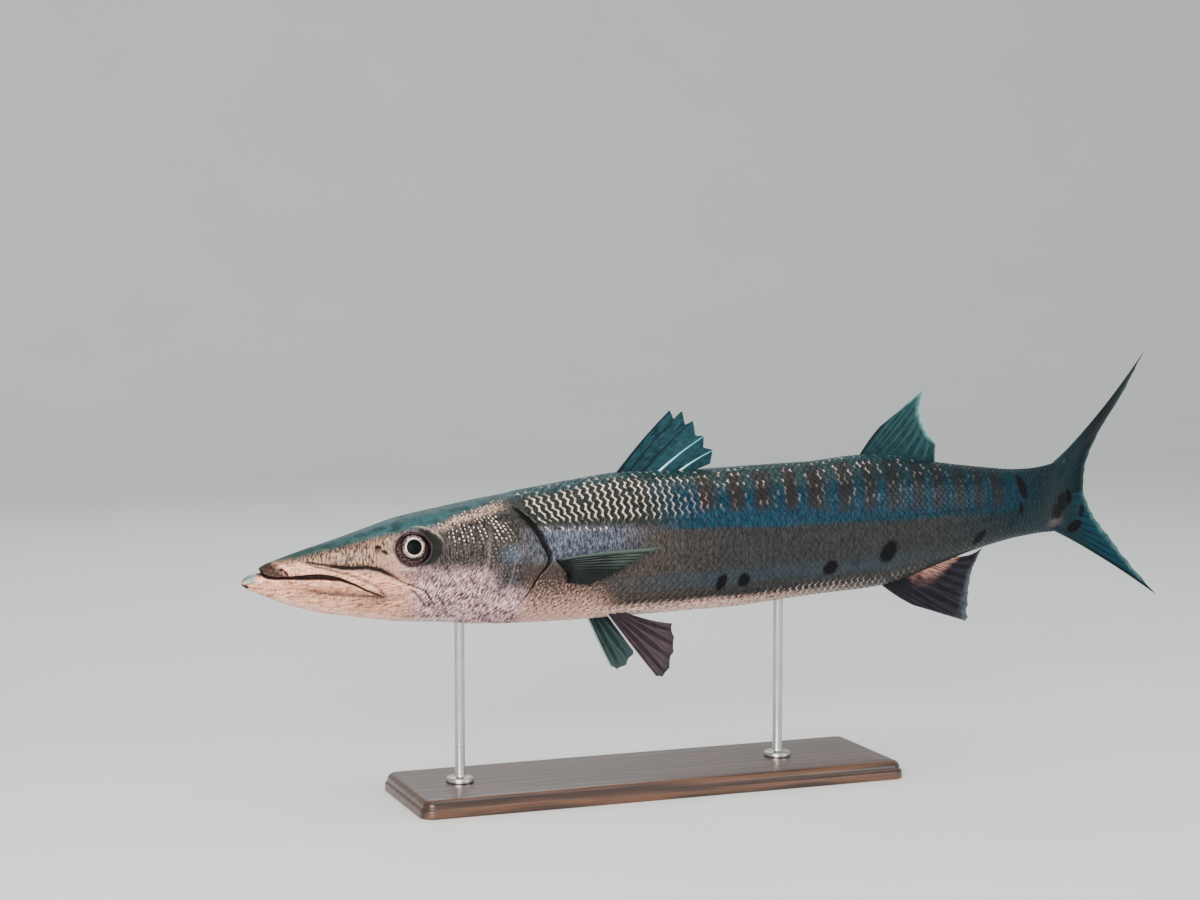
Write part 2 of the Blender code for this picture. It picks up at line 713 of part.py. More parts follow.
def make_first_dorsal(rows=8):
    feet = [on_midplane(foot) + on_midplane(SPINE_SINK) for foot, _ in SPINES]
    tips = [on_midplane(tip) for _, tip in SPINES]
    columns = []
    for i, (foot, tip) in enumerate(zip(feet, tips)):
        columns.append(bowed(foot, tip, SPINE_BOW, rows))
        if i + 1 < len(feet):
            between = (foot + feet[i + 1]) / 2
            columns.append(bowed(between, on_midplane(SPINE_NOTCHES[i]), MEMBRANE_BOW, rows))
    columns.append(bowed(on_midplane(SAIL_END_FOOT), on_midplane(SAIL_END_TIP), (0.0, 0.0), rows))
    fin = fin_sheet("first_dorsal_fin", columns, SPINY_THICK)
    trim_to_body(fin)
    finish(fin, FIN_DARK, 0.4)


def make_soft_fin(name, outline, count, colour, seed, rows=7):
    rays = sink(spread_rays(outline, count, seed=seed))
    fin = fin_sheet(name, ray_columns(rays, rows), SOFT_THICK)
    trim_to_body(fin)
    finish(fin, colour, 0.4)


def make_caudal():
    def lateral(lag):
        shares = {"root": 0.0, "mid": 0.3, "tip": 1.0}
        return lambda part, share, x, z: lag * shares[part] * math.sin(math.pi * share)

    lobes = (("upper", CAUDAL_UPPER, 9, FIN_DARK), ("lower", CAUDAL_LOWER, 8, FIN_TEAL))
    for word, outline, count, colour in lobes:
        rays = spread_rays(outline, count, lateral=lateral(TAIL_LAG[word]), seed=3)
        for ray in rays:
            ray[0] = ray[0] + np.array((GAP, 0, 0))
        columns = ray_columns(rays, 8)
        fin = fin_sheet("caudal_fin_" + word, columns, TAIL_THICK, TAIL_FOOT_SHARE)
        finish(fin, colour, 0.4)


def make_pectorals():
    for side, word in ((-1, "left"), (1, "right")):

        def lateral(part, share, x, z, side=side):
            stand_out = dict(zip(RAY_PARTS, PECTORAL_OUT))[part]
            return side * (half_width(x, z) + stand_out)

        rays = spread_rays(PECTORAL, 9, lateral=lateral, seed=5)
        for ray in rays:
            ray[1] = ray[1] + np.array((PECTORAL_CUP[0], side * PECTORAL_CUP[1], 0))
        fin = fin_sheet("pectoral_fin_" + word, ray_columns(rays, 7), PECTORAL_THICK)
        trim_to_body(fin)
        finish(fin, FIN_GREEN, 0.4)


def make_pelvics():
    for side, word, outline in ((-1, "left", PELVIC_LEFT), (1, "right", PELVIC_RIGHT)):

        def lateral(part, share, x, z, side=side, word=word):
            return side * dict(zip(RAY_PARTS, PELVIC_OUT[word]))[part]

        rays = sink(spread_rays(outline, 6, lateral=lateral, seed=7))
        fin = fin_sheet("pelvic_fin_" + word, ray_columns(rays, 7), PELVIC_THICK)
        trim_to_body(fin)
        finish(fin, FIN_PURPLE, 0.4)


def turned(name, profile, at, sides=16, collection=None):
    """A closed solid of revolution on a vertical axis: (radius, height) from the foot up."""
    points, faces = [], []
    for radius, height in profile:
        for j in range(sides):
            turn = 2 * math.pi * j / sides
            spot = (at[0] + radius * math.cos(turn), at[1] + radius * math.sin(turn), height)
            points.append([v * MM for v in spot])
    for i in range(len(profile) - 1):
        for j in range(sides):
            a, b = i * sides + j, i * sides + (j + 1) % sides
            faces.append((a, b, b + sides, a + sides))
    faces.append(tuple(range(sides)))
    faces.append(tuple(range((len(profile) - 1) * sides, len(profile) * sides)))
    return mesh_object(name, points, faces, collection)


def make_stand(head, body_rear):
    length, width, height = BASE_SIZE
    base = bpy.data.objects.new("stand_base", bpy.data.meshes.new("stand_base"))
    bpy.context.scene.collection.objects.link(base)
    build = bmesh.new()
    bmesh.ops.create_cube(build, size=1.0)
    for v in build.verts:
        v.co.x *= length * MM
        v.co.y *= width * MM
        v.co.z = (v.co.z + 0.5) * height * MM
    upright = [e for e in build.edges if abs(e.verts[0].co.z - e.verts[1].co.z) > height * MM / 2]
    corner = BASE_CORNER * MM
    bmesh.ops.bevel(build, geom=upright, offset=corner, segments=4, profile=0.5, affect="EDGES")
    rim = [e for e in build.edges if all(v.co.z > (height - 0.1) * MM for v in e.verts)]
    bmesh.ops.bevel(build, geom=rim, offset=BASE_BEVEL * MM, segments=3, profile=0.6, affect="EDGES")
    build.to_mesh(base.data)
    build.free()
    finish(base, WOOD, 0.35)
    for x, body, word in ((ROD_X[0], head, "front"), (ROD_X[1], body_rear, "rear")):
        belly = place((x, 0.0, belly_at(x)))
        at = (belly[0] / MM, 0.0)
        top = belly[2] / MM + ROD_DEPTH
        foot = height + GAP
        profile = [
            (FOOT_RADIUS, foot), (FOOT_RADIUS, foot + FOOT_HEIGHT - 1),
            (FOOT_RADIUS - 1, foot + FOOT_HEIGHT), (ROD_RADIUS, foot + FOOT_HEIGHT), (ROD_RADIUS, top),
        ]
        finish(turned("stand_rod_" + word, profile, at), STEEL, 0.25, 1.0)
        cutters = helpers("rod_socket")
        wide = ROD_RADIUS + GAP
        socket = [(wide, belly[2] / MM - SOCKET_BELOW), (wide, top + GAP)]
        turned("rod_socket", socket, at, collection=cutters)
        cut(body, cutters)
        keep_part(body, closed_parts(body.data)[0])


def main():
    clear_scene()
    head = make_head()
    make_gill_covers()
    make_eyes()
    body_rear = make_body()
    make_first_dorsal()
    make_soft_fin("second_dorsal_fin", SECOND_DORSAL, 10, FIN_TEAL, seed=11)
    make_soft_fin("anal_fin", ANAL, 10, FIN_DARK, seed=13)
    make_caudal()
    make_pectorals()
    make_pelvics()
    make_stand(head, body_rear)


main()
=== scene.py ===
"""The looks of a life-size barracuda on a plain display stand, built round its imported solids.

The fish is drawn in its own frame, in millimetres: x runs from the tip of the upper jaw along
the body's midline to the tail, y to the fish's right, z up. place() bends the tail, tips the
nose down a little and sets the fish over its stand, in metres.
"""

import math
import random

import bpy
import numpy as np
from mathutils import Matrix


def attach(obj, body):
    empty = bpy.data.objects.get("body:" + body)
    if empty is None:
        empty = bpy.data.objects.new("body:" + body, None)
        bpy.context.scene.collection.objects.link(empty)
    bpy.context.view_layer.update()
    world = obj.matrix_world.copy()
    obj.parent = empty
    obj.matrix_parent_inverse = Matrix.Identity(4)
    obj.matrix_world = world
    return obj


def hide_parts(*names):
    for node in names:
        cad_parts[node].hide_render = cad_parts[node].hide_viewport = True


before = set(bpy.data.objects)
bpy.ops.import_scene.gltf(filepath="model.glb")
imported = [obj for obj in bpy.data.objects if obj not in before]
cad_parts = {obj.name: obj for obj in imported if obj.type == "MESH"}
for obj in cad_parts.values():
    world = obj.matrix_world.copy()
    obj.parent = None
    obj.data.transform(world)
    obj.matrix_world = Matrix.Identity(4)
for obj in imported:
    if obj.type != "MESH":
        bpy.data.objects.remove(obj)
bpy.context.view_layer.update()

# Pose of the fish over its stand
MM = 0.001
BEND_START, BEND_END = 700.0, 880.0
BEND_ANGLE = math.radians(19.5)
NOSE_DOWN = math.radians(1.8)
STAND_X = 400.0
AXIS_HEIGHT = 245.0
SIDES = ((-1, "left"), (1, "right"))

# Outlines of the body from the side: (x, z)
BACK_LINE = [
    (-18, -14.5), (-14, -10.8), (-8, -8.6), (-1.5, -8), (0.6, -2.5), (5, 0.2), (14, 3.1),
    (43, 11.4), (71, 18.2), (112, 29), (137, 35.6), (163, 40), (210, 46.7), (266, 54),
    (320, 60.5), (372, 65.4), (449, 62.8), (521, 63), (579, 62.8), (640, 66), (672, 64.5),
    (703, 58.5), (734, 52.5), (767, 46.9), (802, 41.5), (840, 36.6), (870, 35.4), (905, 38),
    (915, 41.6), (925, 46),
]
BELLY_LINE = [
    (-18, -18.5), (-14, -21.5), (-7, -25.5), (9, -33.3), (26, -41), (41, -46.2), (61, -52),
    (86, -57), (108, -61.3), (133, -66), (157, -68.6), (205, -72.3), (282, -78), (330, -80.3),
    (440, -81.2), (488, -81.6), (546, -78.6), (605, -76.3), (640, -75.5), (670, -73),
    (701, -65.8), (732, -56.8), (765, -48.6), (800, -42.3), (839, -38.3), (870, -37.5),
    (905, -39), (915, -42.5), (925, -47),
]
# Half the width, seen from above: (x, y)
HALF_WIDTH = [
    (-18, 3), (-14, 5.2), (-8, 7.2), (0, 8.8), (20, 11.5), (50, 16.5), (80, 22.5), (110, 29),
    (144, 35), (180, 40), (230, 45), (300, 48), (400, 48.5), (520, 47), (640, 41.5),
    (720, 33), (800, 25), (850, 19.5), (885, 12), (905, 5), (915, 2.9), (925, 1.6),
]
WIDEST_LINE = [
    (-18, -16.5), (0, -16), (50, -18), (100, -16), (144, -9), (200, -10), (300, -9),
    (450, -8), (620, -5), (760, -1), (905, 0),
]
ROOF_ARCH = [(-18, 2), (0, 2.1), (60, 2.5), (144, 2.8), (200, 2.4), (270, 2.1), (905, 2)]
KEEL_ARCH = [(-18, 2), (0, 2), (90, 1.9), (160, 2), (260, 2.15), (905, 2)]

# Rear edge of the gill covers, seen from the side: (z, x)
GILL_EDGE = 250.0
GILL_LINE = [
    (-90, 206), (-72, 222), (-64, 238), (-52, 250), (-27, 266), (-11.5, 277), (5, 271),
    (24, 261), (38, 250), (54, 243), (70, 240),
]
# Width of the open slit behind the gill cover, by height
GILL_SLIT = [
    (-84, 0.2), (-70, 0.9), (-30, 1.1), (-12, 2.8), (4, 4.8), (22, 5.8), (32, 5.0), (39, 2.6),
    (44, 0.2),
]

# Mouth, from the front back to its corner, and half the gap between the lips: (x, z), (x, gap)
MOUTH_LINE = [
    (-0.4, -6.6), (1, -8.8), (5, -11.2), (14, -12.8), (36, -13.6), (55, -13.8), (73, -17),
    (87, -23.2), (98, -29.4), (110, -35), (117, -38),
]
MOUTH_GAP = [
    (-3, 0.8), (6, 1.3), (24, 1.3), (36, 1.9), (46, 2.3), (66, 2.1), (78, 1.1), (92, 0.7),
    (106, 0.5), (118, 0.3),
]
MOUTH_REACH = (1.0, 119.0)

# Lines of the face: (x, z)
MAXILLA_LINE = [
    (36, 2.4), (42, 1.2), (58, -2.2), (74, -5.8), (85, -7.2), (98, -6.9), (111, -10), (122, -16.2),
    (132, -23), (143, -28), (154, -33), (161, -43), (166, -54),
]
MAXILLA_DEEP = [
    (54, -1.4), (66, -4), (76, -6.1), (86, -7.2), (98, -6.9), (111, -10), (122, -16.2), (133, -23.6),
]
LIP_LINE = [
    (38, 1.8), (46, -1), (53.5, -4.1), (69, -8.7), (83, -13.3), (97, -19.9), (109, -27.5),
    (115, -35), (117, -42),
]
JAW_LINE = [(44, -27), (54, -29), (64, -31.5), (87, -34.6), (111, -36.8), (121, -41)]
JAW_SEAM = [(20, -22), (36, -25.3), (60, -29), (80, -31.6), (92, -33)]
CHEEK_FOLD = [(140, -30), (147, -37), (152, -44), (158, -54)]
PREOPERCLE_LINE = [
    (222, 30), (221, 18), (219, 5), (217, -8), (214, -21), (209, -34), (206, -48), (200, -58),
]
OPERCLE_RIDGE = [(262, 3), (250, -3), (243, -14), (240, -26), (236, -38), (228, -50)]

NOSTRILS = [((111, 11.7), (2.2, 1.8), 0.2, 2.2), ((117, 6.9), (3.6, 1.3), -0.6, 1.8)]
LIP_PITS = [((19.2, -5.1), (1.8, 1.5), 0.0, 1.6), ((23.4, -8.6), (3.2, 1.2), -1.0, 1.2)]

# Grooves and ridges of the face: line, width and depth of the relief, then width, strength and
# fading ends of the painted shade along a groove or the painted highlight along a ridge
GROOVES = [
    (MAXILLA_LINE, (0.9, 0.9), (0.9, 1.2, 0.08)), (MAXILLA_DEEP, (1.5, 1.5), (1.7, 2.2, 0.3)),
    (LIP_LINE, (1.0, 1.3), (1.5, 0.6, 0.08)), (JAW_LINE, (1.2, 1.0), (1.3, 0.8, 0.08)),
    (JAW_SEAM, (1.0, 0.5), (1.1, 0.6, 0.3)), (CHEEK_FOLD, (1.0, 0.7), (1.2, 0.8, 0.08)),
    ([(x + 4, z) for x, z in PREOPERCLE_LINE], (1.8, 0.6), (2.0, 0.35, 0.08)),
]
RIDGES = [
    (PREOPERCLE_LINE, (1.8, -0.8), (1.0, 0.4, 0.25)), (OPERCLE_RIDGE, (1.6, -0.5), (0.8, 0.25, 0.25)),
]
# Soft rolls of flesh below two of the grooves, and how far below and how wide their painted highlights are
ROLLS = [(MAXILLA_LINE, 2.6, 1.3), (LIP_LINE, 2.2, 1.2)]

# Eye: centre on the face, half sizes of the ball, and how deep its middle lies
EYE_X, EYE_Z = EYE_AT = (144.0, 8.1)
EYE_HALF = (16.2, 15.2, 11.8)
EYE_SUNK = 7.2
# Pupil: place, radius where its slope starts and ends, depth, and rise of the iris round it
PUPIL_AT = (0.4, 2.4)
PUPIL_EDGE = (6.6, 7.8)
PUPIL_DEPTH, IRIS_RISE = 0.7, 0.25
EYE_GRID = (72, 96)
# Adipose lid round the eye
LID_AT, LID_HALF = (148.8, 9.1), (24.0, 19.0)

# Lower edge of the blue band: (x, z)
BLUE_EDGE = [
    (250, 16), (395, 9), (431, 7.8), (473, 5.7), (515, 3.7), (558, 2.5), (602, 1.5), (655, -1),
    (716, -2.1), (763, -2.8), (812, -5.4), (905, -6),
]
# Lower edge of the plain teal back: (x, z)
TEAL_EDGE = [
    (-18, -9), (0, -1.5), (23, 2.4), (63, 10.4), (96, 17.0), (129, 23.6), (162, 27.5), (188, 36.0),
    (211, 41), (229, 46), (256, 50), (300, 54), (340, 59), (372, 62), (449, 62), (521, 62),
    (640, 64), (703, 58), (767, 47), (840, 38), (905, 38),
]

# Dark bars over the back: x of each, and their half width
BARS = (445, 478, 507, 541, 567, 602, 632, 658, 692, 716, 742, 768, 792)
BAR_HALF = 7.5
# Black blotches of the flank: (x, z), half sizes, tilt, and how dark
BLOTCHES = [
    ((464, -49.4), (5.4, 9.2), -0.25, 1.0), ((489, -48.8), (6.8, 7.4), -0.5, 1.0),
    ((588, -44.6), (8.8, 7.6), 0.6, 1.0), ((618, -42.5), (4, 4.5), 0.3, 0.35),
    ((656, -33.4), (8.8, 13.0), -0.6, 1.0), ((772, -29.3), (5.4, 9.8), -0.75, 1.0),
    ((833, 18.4), (6.4, 13.5), 0.2, 1.0), ((828, -3.8), (3.4, 6.6), 0.0, 1.0),
    ((816, -20), (2.6, 5.0), -0.2, 0.4),
]
# Blotches where the body passes into the tail fin
TAIL_BLOTCHES = [
    ((902, -15), (13.0, 8.5), -0.3, 1.0), ((915, -7), (12.0, 10.0), 0.3, 1.0),
    ((928, -3), (7.0, 8.5), 0.3, 1.0), ((940, -36.5), (13.0, 5.8), 0.25, 1.0),
    ((953, -21), (5.0, 7.0), -0.2, 0.9), ((893, -20), (5.0, 4.2), 0, 0.8),
]

# Scales: rows on each side, and spacing of the columns at the front and at the tail
SCALE_ROWS = 42
SCALE_FIRST, SCALE_LAST = 248.0, 912.0
SCALE_PITCH_FRONT, SCALE_PITCH_TAIL = 8.0, 6.2
ROW_STAGGER = 0.3
SCALE_THICK = 0.2
COAT_DEPTH = 0.5
# Length and width of a scale of the flank in pitches, and the lift of its root and its rear edge
SCALE_LENGTH, SCALE_WIDTH = 1.5, 1.75
SCALE_LIFT = (-COAT_DEPTH - 0.4, -0.12)
# Small scales of the head: first and last column, spacing along and around, length and width
HEAD_FIRST, HEAD_LAST = 160.0, 246.0
HEAD_PITCH, HEAD_ROW = 3.7, 3.9
HEAD_LENGTH, HEAD_WIDTH = 5.4, 1.15
HEAD_LIFT = (-0.5, 0.06)

# First dorsal fin: foot and tip of each spine, and the membrane's edge behind it
SPINES = [
    ((370, 65.4), (429, 124.8)), ((381, 65.2), (442, 122.9)), ((396, 64.6), (454, 112.4)),
    ((413, 64), (466, 96.2)), ((435, 63.2), (475, 80.8)),
]
SPINE_NOTCHES = [(435, 114.5), (446, 109.5), (457, 97.5), (465, 85.5)]
SAIL_END_FOOT, SAIL_END_TIP = (446, 59.4), (472, 67.4)
SPINE_SINK = (-3.0, -5.0)
SPINE_BOW, MEMBRANE_BOW = (-3.0, 2.0), (-2.0, 1.0)

# Soft fins: root, halfway and tip of rays, read along each fin
FIN_PARTS = ("root", "mid", "tip")
SECOND_DORSAL = {
    "root": [(642, 65), (655, 65.5), (672, 64), (700, 58.5), (731, 52.5)],
    "mid": [(655, 84), (680, 92), (696, 82), (712, 72), (731, 63)],
    "tip": [(668, 95), (720, 131.5), (714, 109), (720, 88), (733, 72)],
}
ANAL = {
    "root": [(664, -73), (680, -71), (704, -65), (728, -57), (754, -51)],
    "mid": [(684, -90), (718, -100), (740, -86), (756, -70), (774, -56)],
    "tip": [(704, -99.5), (771, -123.5), (772, -98), (776, -73), (792, -44.5)],
}
CAUDAL_UPPER = {
    "root": [(905, 37), (905, 28), (905, 18), (905, 9), (905, -0.6)],
    "mid": [(973, 71), (960, 54), (942, 35), (933, 17), (930, -0.6)],
    "tip": [(1066, 150.5), (1038, 108), (996, 65), (967, 28), (955, -0.6)],
}
CAUDAL_LOWER = {
    "root": [(905, -38), (905, -28), (905, -18), (905, -9), (905, 0.6)],
    "mid": [(976, -68), (962, -54), (946, -37), (934, -18), (930, 0.6)],
    "tip": [(1087, -132.5), (1038, -88), (1003, -54), (974, -26), (955, 0.6)],
}
PECTORAL = {
    "root": [(286, -12), (289, -17), (293, -22), (297, -27), (301, -32)],
    "mid": [(336, -4), (334, -11), (328, -19), (318, -27), (308, -33)],
    "tip": [(392, -5.5), (372, -14), (353, -23), (333, -32), (315, -37)],
}
PELVIC = {"left": {
    "root": [(345, -72), (348, -72), (352, -72), (356, -72), (361, -72)],
    "mid": [(370, -112), (379, -111), (386, -103), (389, -94), (387, -85)],
    "tip": [(392, -143), (402, -141), (411, -125), (414, -106), (412, -88)],
}, "right": {
    "root": [(336, -72), (340, -72), (345, -72), (350, -72), (356, -72)],
    "mid": [(349, -108), (357, -109), (365, -104), (371, -97), (373, -89)],
    "tip": [(365, -137.5), (374, -141), (387, -133), (393, -116), (392, -98)],
}}
# How far each part of a fin stands out: from the midplane, or past the flank for the pectorals
PELVIC_OUT = {"left": (19.0, 26.0, 33.0), "right": (19.0, 21.0, 23.0)}
PECTORAL_OUT = (-3.0, 7.0, 15.0)
PECTORAL_CUP = (-26.0, 6.0)
TAIL_LAG = {"upper": 9.0, "lower": 3.0}
ROOT_SINK = 6.0
# Width of a ray and how far its branches spread, in spacings between rays
RAY_WIDTH, RAY_SPREAD = 0.11, 0.17
SPINE_SIDES = 10

# Stand
BASE_SIZE = (520.0, 150.0, 18.0)
BASE_CORNER = 14.0
ROD_X = (198.0, 545.0)
ROD_RADIUS, ROD_DEPTH, ROD_SIDES = 5.0, 24.0, 64
GAP = 0.3
# Moulded rim of the board, from its foot up: (inset, height)
BOARD_RIM = [
    (0.6, 0.0), (0.0, 0.6), (0.0, 7.0), (0.25, 7.9), (0.9, 8.6), (1.6, 9.0), (2.2, 9.5), (2.4, 10.2),
    (2.4, 11.0), (2.6, 12.6), (3.2, 14.2), (4.3, 15.7), (5.8, 16.9), (7.6, 17.7), (9.4, 18.0),
    (40.0, 18.0),
]
# Turned foot of a rod: (radius, height over the board)
ROD_FOOT = [
    (13.6, 0.0), (14.0, 0.4), (14.0, 3.2), (13.5, 4.2), (12.4, 4.8), (11.0, 5.0), (6.6, 5.0),
    (5.5, 5.6), (ROD_RADIUS, 7.2),
]

# Pale sheet behind and below the fish, in metres
SWEEP_FRONT, SWEEP_BACK, SWEEP_RADIUS, SWEEP_HEIGHT, SWEEP_WIDTH = 6.0, 3.0, 2.5, 6.0, 9.0

# Camera, as fitted to the photograph
LENS, SENSOR = 72.0, 36.0
CAMERA_AT = (-0.8975, -2.2523, 0.5555)
CAMERA_TURN = (math.radians(85.0), 0.0, math.radians(-20.6))

# Studio: light from all sides, and soft lamps with their place, size, power and colour
WORLD_LIGHT, WORLD_POWER = (0.90, 0.94, 0.97, 1), 0.7
LAMP_AIM = (0.0, 0.0, 0.25)
LAMPS = [
    ("key", (-1.35, -2.2, 0.95), 1.3, 100.0, (1.0, 0.96, 0.92)),
    ("side", (1.7, -2.0, 0.9), 1.2, 20.0, (0.88, 0.95, 1.0)),
    ("top", (0.0, -0.2, 2.6), 2.2, 30.0, (1.0, 1.0, 1.0)),
    ("back", (0.2, 2.0, 1.7), 1.4, 12.0, (0.95, 0.98, 1.0)),
]


def srgb(red, green, blue):
    """A colour given as 0 to 255, in the shader's own linear values."""
    shares = [value / 255 for value in (red, green, blue)]
    return tuple(s / 12.92 if s <= 0.04045 else ((s + 0.055) / 1.055) ** 2.4 for s in shares)


def smooth_line(points):
    """A curve through the points that never overshoots them, as a function of the first value."""
    xs, ys = np.array(points, float).T
    steps = np.diff(xs)
    slopes = np.diff(ys) / steps
    tangents = np.zeros_like(ys)
    tangents[0], tangents[-1] = slopes[0], slopes[-1]
    for i in range(1, len(xs) - 1):
        before, after = slopes[i - 1], slopes[i]
        if before * after > 0:
            wide, narrow = 2 * steps[i] + steps[i - 1], steps[i] + 2 * steps[i - 1]
            tangents[i] = (wide + narrow) / (wide / before + narrow / after)

    def at(x):
        x = np.clip(x, xs[0], xs[-1])
        i = np.clip(np.searchsorted(xs, x, side="right") - 1, 0, len(steps) - 1)
        h = steps[i]
        t = (x - xs[i]) / h
        return (
            ys[i] * (1 + 2 * t) * (1 - t) ** 2
            + tangents[i] * h * t * (1 - t) ** 2
            + ys[i + 1] * t * t * (3 - 2 * t)
            + tangents[i + 1] * h * t * t * (t - 1)
        )

    return at


back_at = smooth_line(BACK_LINE)
belly_at = smooth_line(BELLY_LINE)
width_at = smooth_line(HALF_WIDTH)
widest_at = smooth_line(WIDEST_LINE)
roof_at = smooth_line(ROOF_ARCH)
keel_at = smooth_line(KEEL_ARCH)
gill_at = smooth_line(GILL_LINE)
slit_at = smooth_line(GILL_SLIT)
mouth_at = smooth_line(MOUTH_LINE[1:])
mouth_gap_at = smooth_line(MOUTH_GAP)
blue_at = smooth_line(BLUE_EDGE)
teal_at = smooth_line(TEAL_EDGE)


def ease(t):
    t = np.clip(t, 0.0, 1.0)
    return t * t * (3 - 2 * t)


def rise_between(value, low, high):
    return ease((value - low) / (high - low))


def unit(vectors):
    return vectors / (np.linalg.norm(vectors, axis=-1, keepdims=True) + 1e-9)


def half_width(x, z):
    """Distance from the midplane to the flank at a point of the side view."""
    middle = widest_at(x)
    above = z >= middle
    rise = np.where(above, back_at(x) - middle, middle - belly_at(x))
    arch = np.where(above, roof_at(x), keel_at(x))
    share = np.minimum(np.abs(z - middle) / rise, 1.0)
    return width_at(x) * (1 - share**arch) ** (1 / arch)


def ring_shift(station, z):
    """How far a ring leans back or forward at a height, so that rings follow the gill edge."""
    reach = np.where(station < GILL_EDGE, 90.0, 110.0)
    return ease(1 - np.abs(station - GILL_EDGE) / reach) * (gill_at(z) - GILL_EDGE)


def flank(station, turn):
    """Left flank: station along the body, turn from 0 at the back to 1 at the belly."""
    middle = widest_at(station)
    rise = np.where(turn < 0.5, back_at(station) - middle, middle - belly_at(station))
    z = middle + rise * np.cos(np.pi * turn)
    y = np.where((turn <= 0) | (turn >= 1), 0.0, half_width(station, z))
    return np.stack([station + ring_shift(station, z), -y, z], axis=-1)


def place(points):
    """From the fish's own frame to its place over the stand, in metres."""
    x, y, z = np.moveaxis(np.array(points, float), -1, 0)
    radius = (BEND_END - BEND_START) / BEND_ANGLE
    turn = np.clip((x - BEND_START) / radius, 0, BEND_ANGLE)
    past = np.maximum(x - BEND_END, 0.0)
    bent = x > BEND_START
    x, y = (
        np.where(bent, BEND_START + (radius - y) * np.sin(turn) + past * np.cos(turn), x),
        np.where(bent, radius - (radius - y) * np.cos(turn) + past * np.sin(turn), y),
    )
    along = x * math.cos(NOSE_DOWN) - z * math.sin(NOSE_DOWN)
    height = x * math.sin(NOSE_DOWN) + z * math.cos(NOSE_DOWN)
    return np.stack([(along - STAND_X) * MM, y * MM, (height + AXIS_HEIGHT) * MM], axis=-1)


def polyline_distance(x, z, line):
    """Distance from points of the side view to a line, its side (plus above) and share along it."""
    best = np.full(x.shape, 1e9)
    sign = np.ones(x.shape)
    share = np.zeros(x.shape)
    points = np.array(line, float)
    lengths = np.linalg.norm(np.diff(points, axis=0), axis=1)
    total, run = lengths.sum(), 0.0
    for a, b, length in zip(points[:-1], points[1:], lengths):
        step = (b - a) / length
        along = np.clip((x - a[0]) * step[0] + (z - a[1]) * step[1], 0, length)
        off_x, off_z = x - a[0] - along * step[0], z - a[1] - along * step[1]
        distance = np.hypot(off_x, off_z)
        nearer = distance < best
        best = np.where(nearer, distance, best)
        sign = np.where(nearer, np.sign(step[0] * off_z - step[1] * off_x), sign)
        share = np.where(nearer, (run + along) / total, share)
        run += length
    return best, sign, share


def crease(x, z, line, width, depth, fade=0.12):
    """A groove along a line of the face, running out at both ends."""
    distance, _, share = polyline_distance(x, z, line)
    ends = np.minimum(ease(share / fade), ease((1 - share) / fade))
    return -depth * np.exp(-((distance / width) ** 2)) * ends


def oval(x, z, at, halves, tilt=0.0):
    """Square of the distance from an oval's middle, 1 at its edge; x and z are arrays or wires."""
    u, v = x - at[0], z - at[1]
    if tilt:
        u, v = u * math.cos(tilt) + v * math.sin(tilt), u * -math.sin(tilt) + v * math.cos(tilt)
    u, v = u / halves[0], v / halves[1]
    return u * u + v * v


def pit(x, z, at, halves, tilt, depth):
    return -depth * np.exp(-(oval(x, z, at, halves, tilt) ** 1.5))


def face_relief(x, z):
    """Height of the skin over the plain section on the head, seen from the side."""
    relief = sum(crease(x, z, line, *shape) for line, shape, _ in GROOVES + RIDGES)
    for line, _, _ in ROLLS:
        distance, side, share = polyline_distance(x, z, line)
        ends = ease(share / 0.2) * ease((1 - share) / 0.1)
        relief += np.where(side < 0, 0.8, 0) * np.exp(-distance / 6.0) * ease(distance / 1.6) * ends
    for hollow in NOSTRILS + LIP_PITS:
        relief += pit(x, z, *hollow)
    eye, lid = np.sqrt(oval(x, z, EYE_AT, EYE_HALF)), np.sqrt(oval(x, z, LID_AT, LID_HALF))
    relief += 1.5 * np.exp(-(((eye - 1.09) / 0.085) ** 2))
    relief -= 5.0 * (1 - rise_between(eye, 0.86, 1.04))
    relief += 0.5 * (1 - rise_between(lid, 0.93, 1.0)) * rise_between(eye, 1.05, 1.2)
    return relief


def mouth_reach(x):
    """1 along the open mouth, 0 before its front and behind its corner."""
    front, rear = MOUTH_REACH
    return rise_between(x, front - 6, front - 2) * (1 - rise_between(x, rear - 12, rear))


def mouth_relief(x, z):
    """The open slit between the lips, with the lips rolled up on both sides of it."""
    gap = mouth_gap_at(x)
    distance, _, _ = polyline_distance(x, z, MOUTH_LINE)
    depth = np.minimum(7.5, 0.42 * width_at(x))
    slot = 1 - rise_between(distance, gap * 0.6, gap * 1.2 + 0.2)
    lips = 0.6 * np.exp(-(((distance - gap - 1.9) / 1.3) ** 2))
    return (lips - depth * slot) * mouth_reach(x)


def gill_drop(station, z):
    """1 on the floor of the slit behind the gill cover."""
    behind, wide = station - GILL_EDGE, slit_at(z)
    near = rise_between(behind, 0.0, 0.8)
    return near * (1 - rise_between(behind, 0.5 + wide, 2.0 + wide * 1.4)) * rise_between(wide, 0.3, 1.0)


def gill_relief(station, z):
    """The gill cover's rear edge stands proud of an open slit, widest near its top."""
    behind = station - GILL_EDGE
    lower, upper = rise_between(z, -78, -66), 1 - rise_between(z, 38, 48)
    plate = rise_between(behind, -26, -3) * (behind < 0.2) * lower * upper
    return plate - (2.0 + 0.4 * slit_at(z)) * gill_drop(station, z)


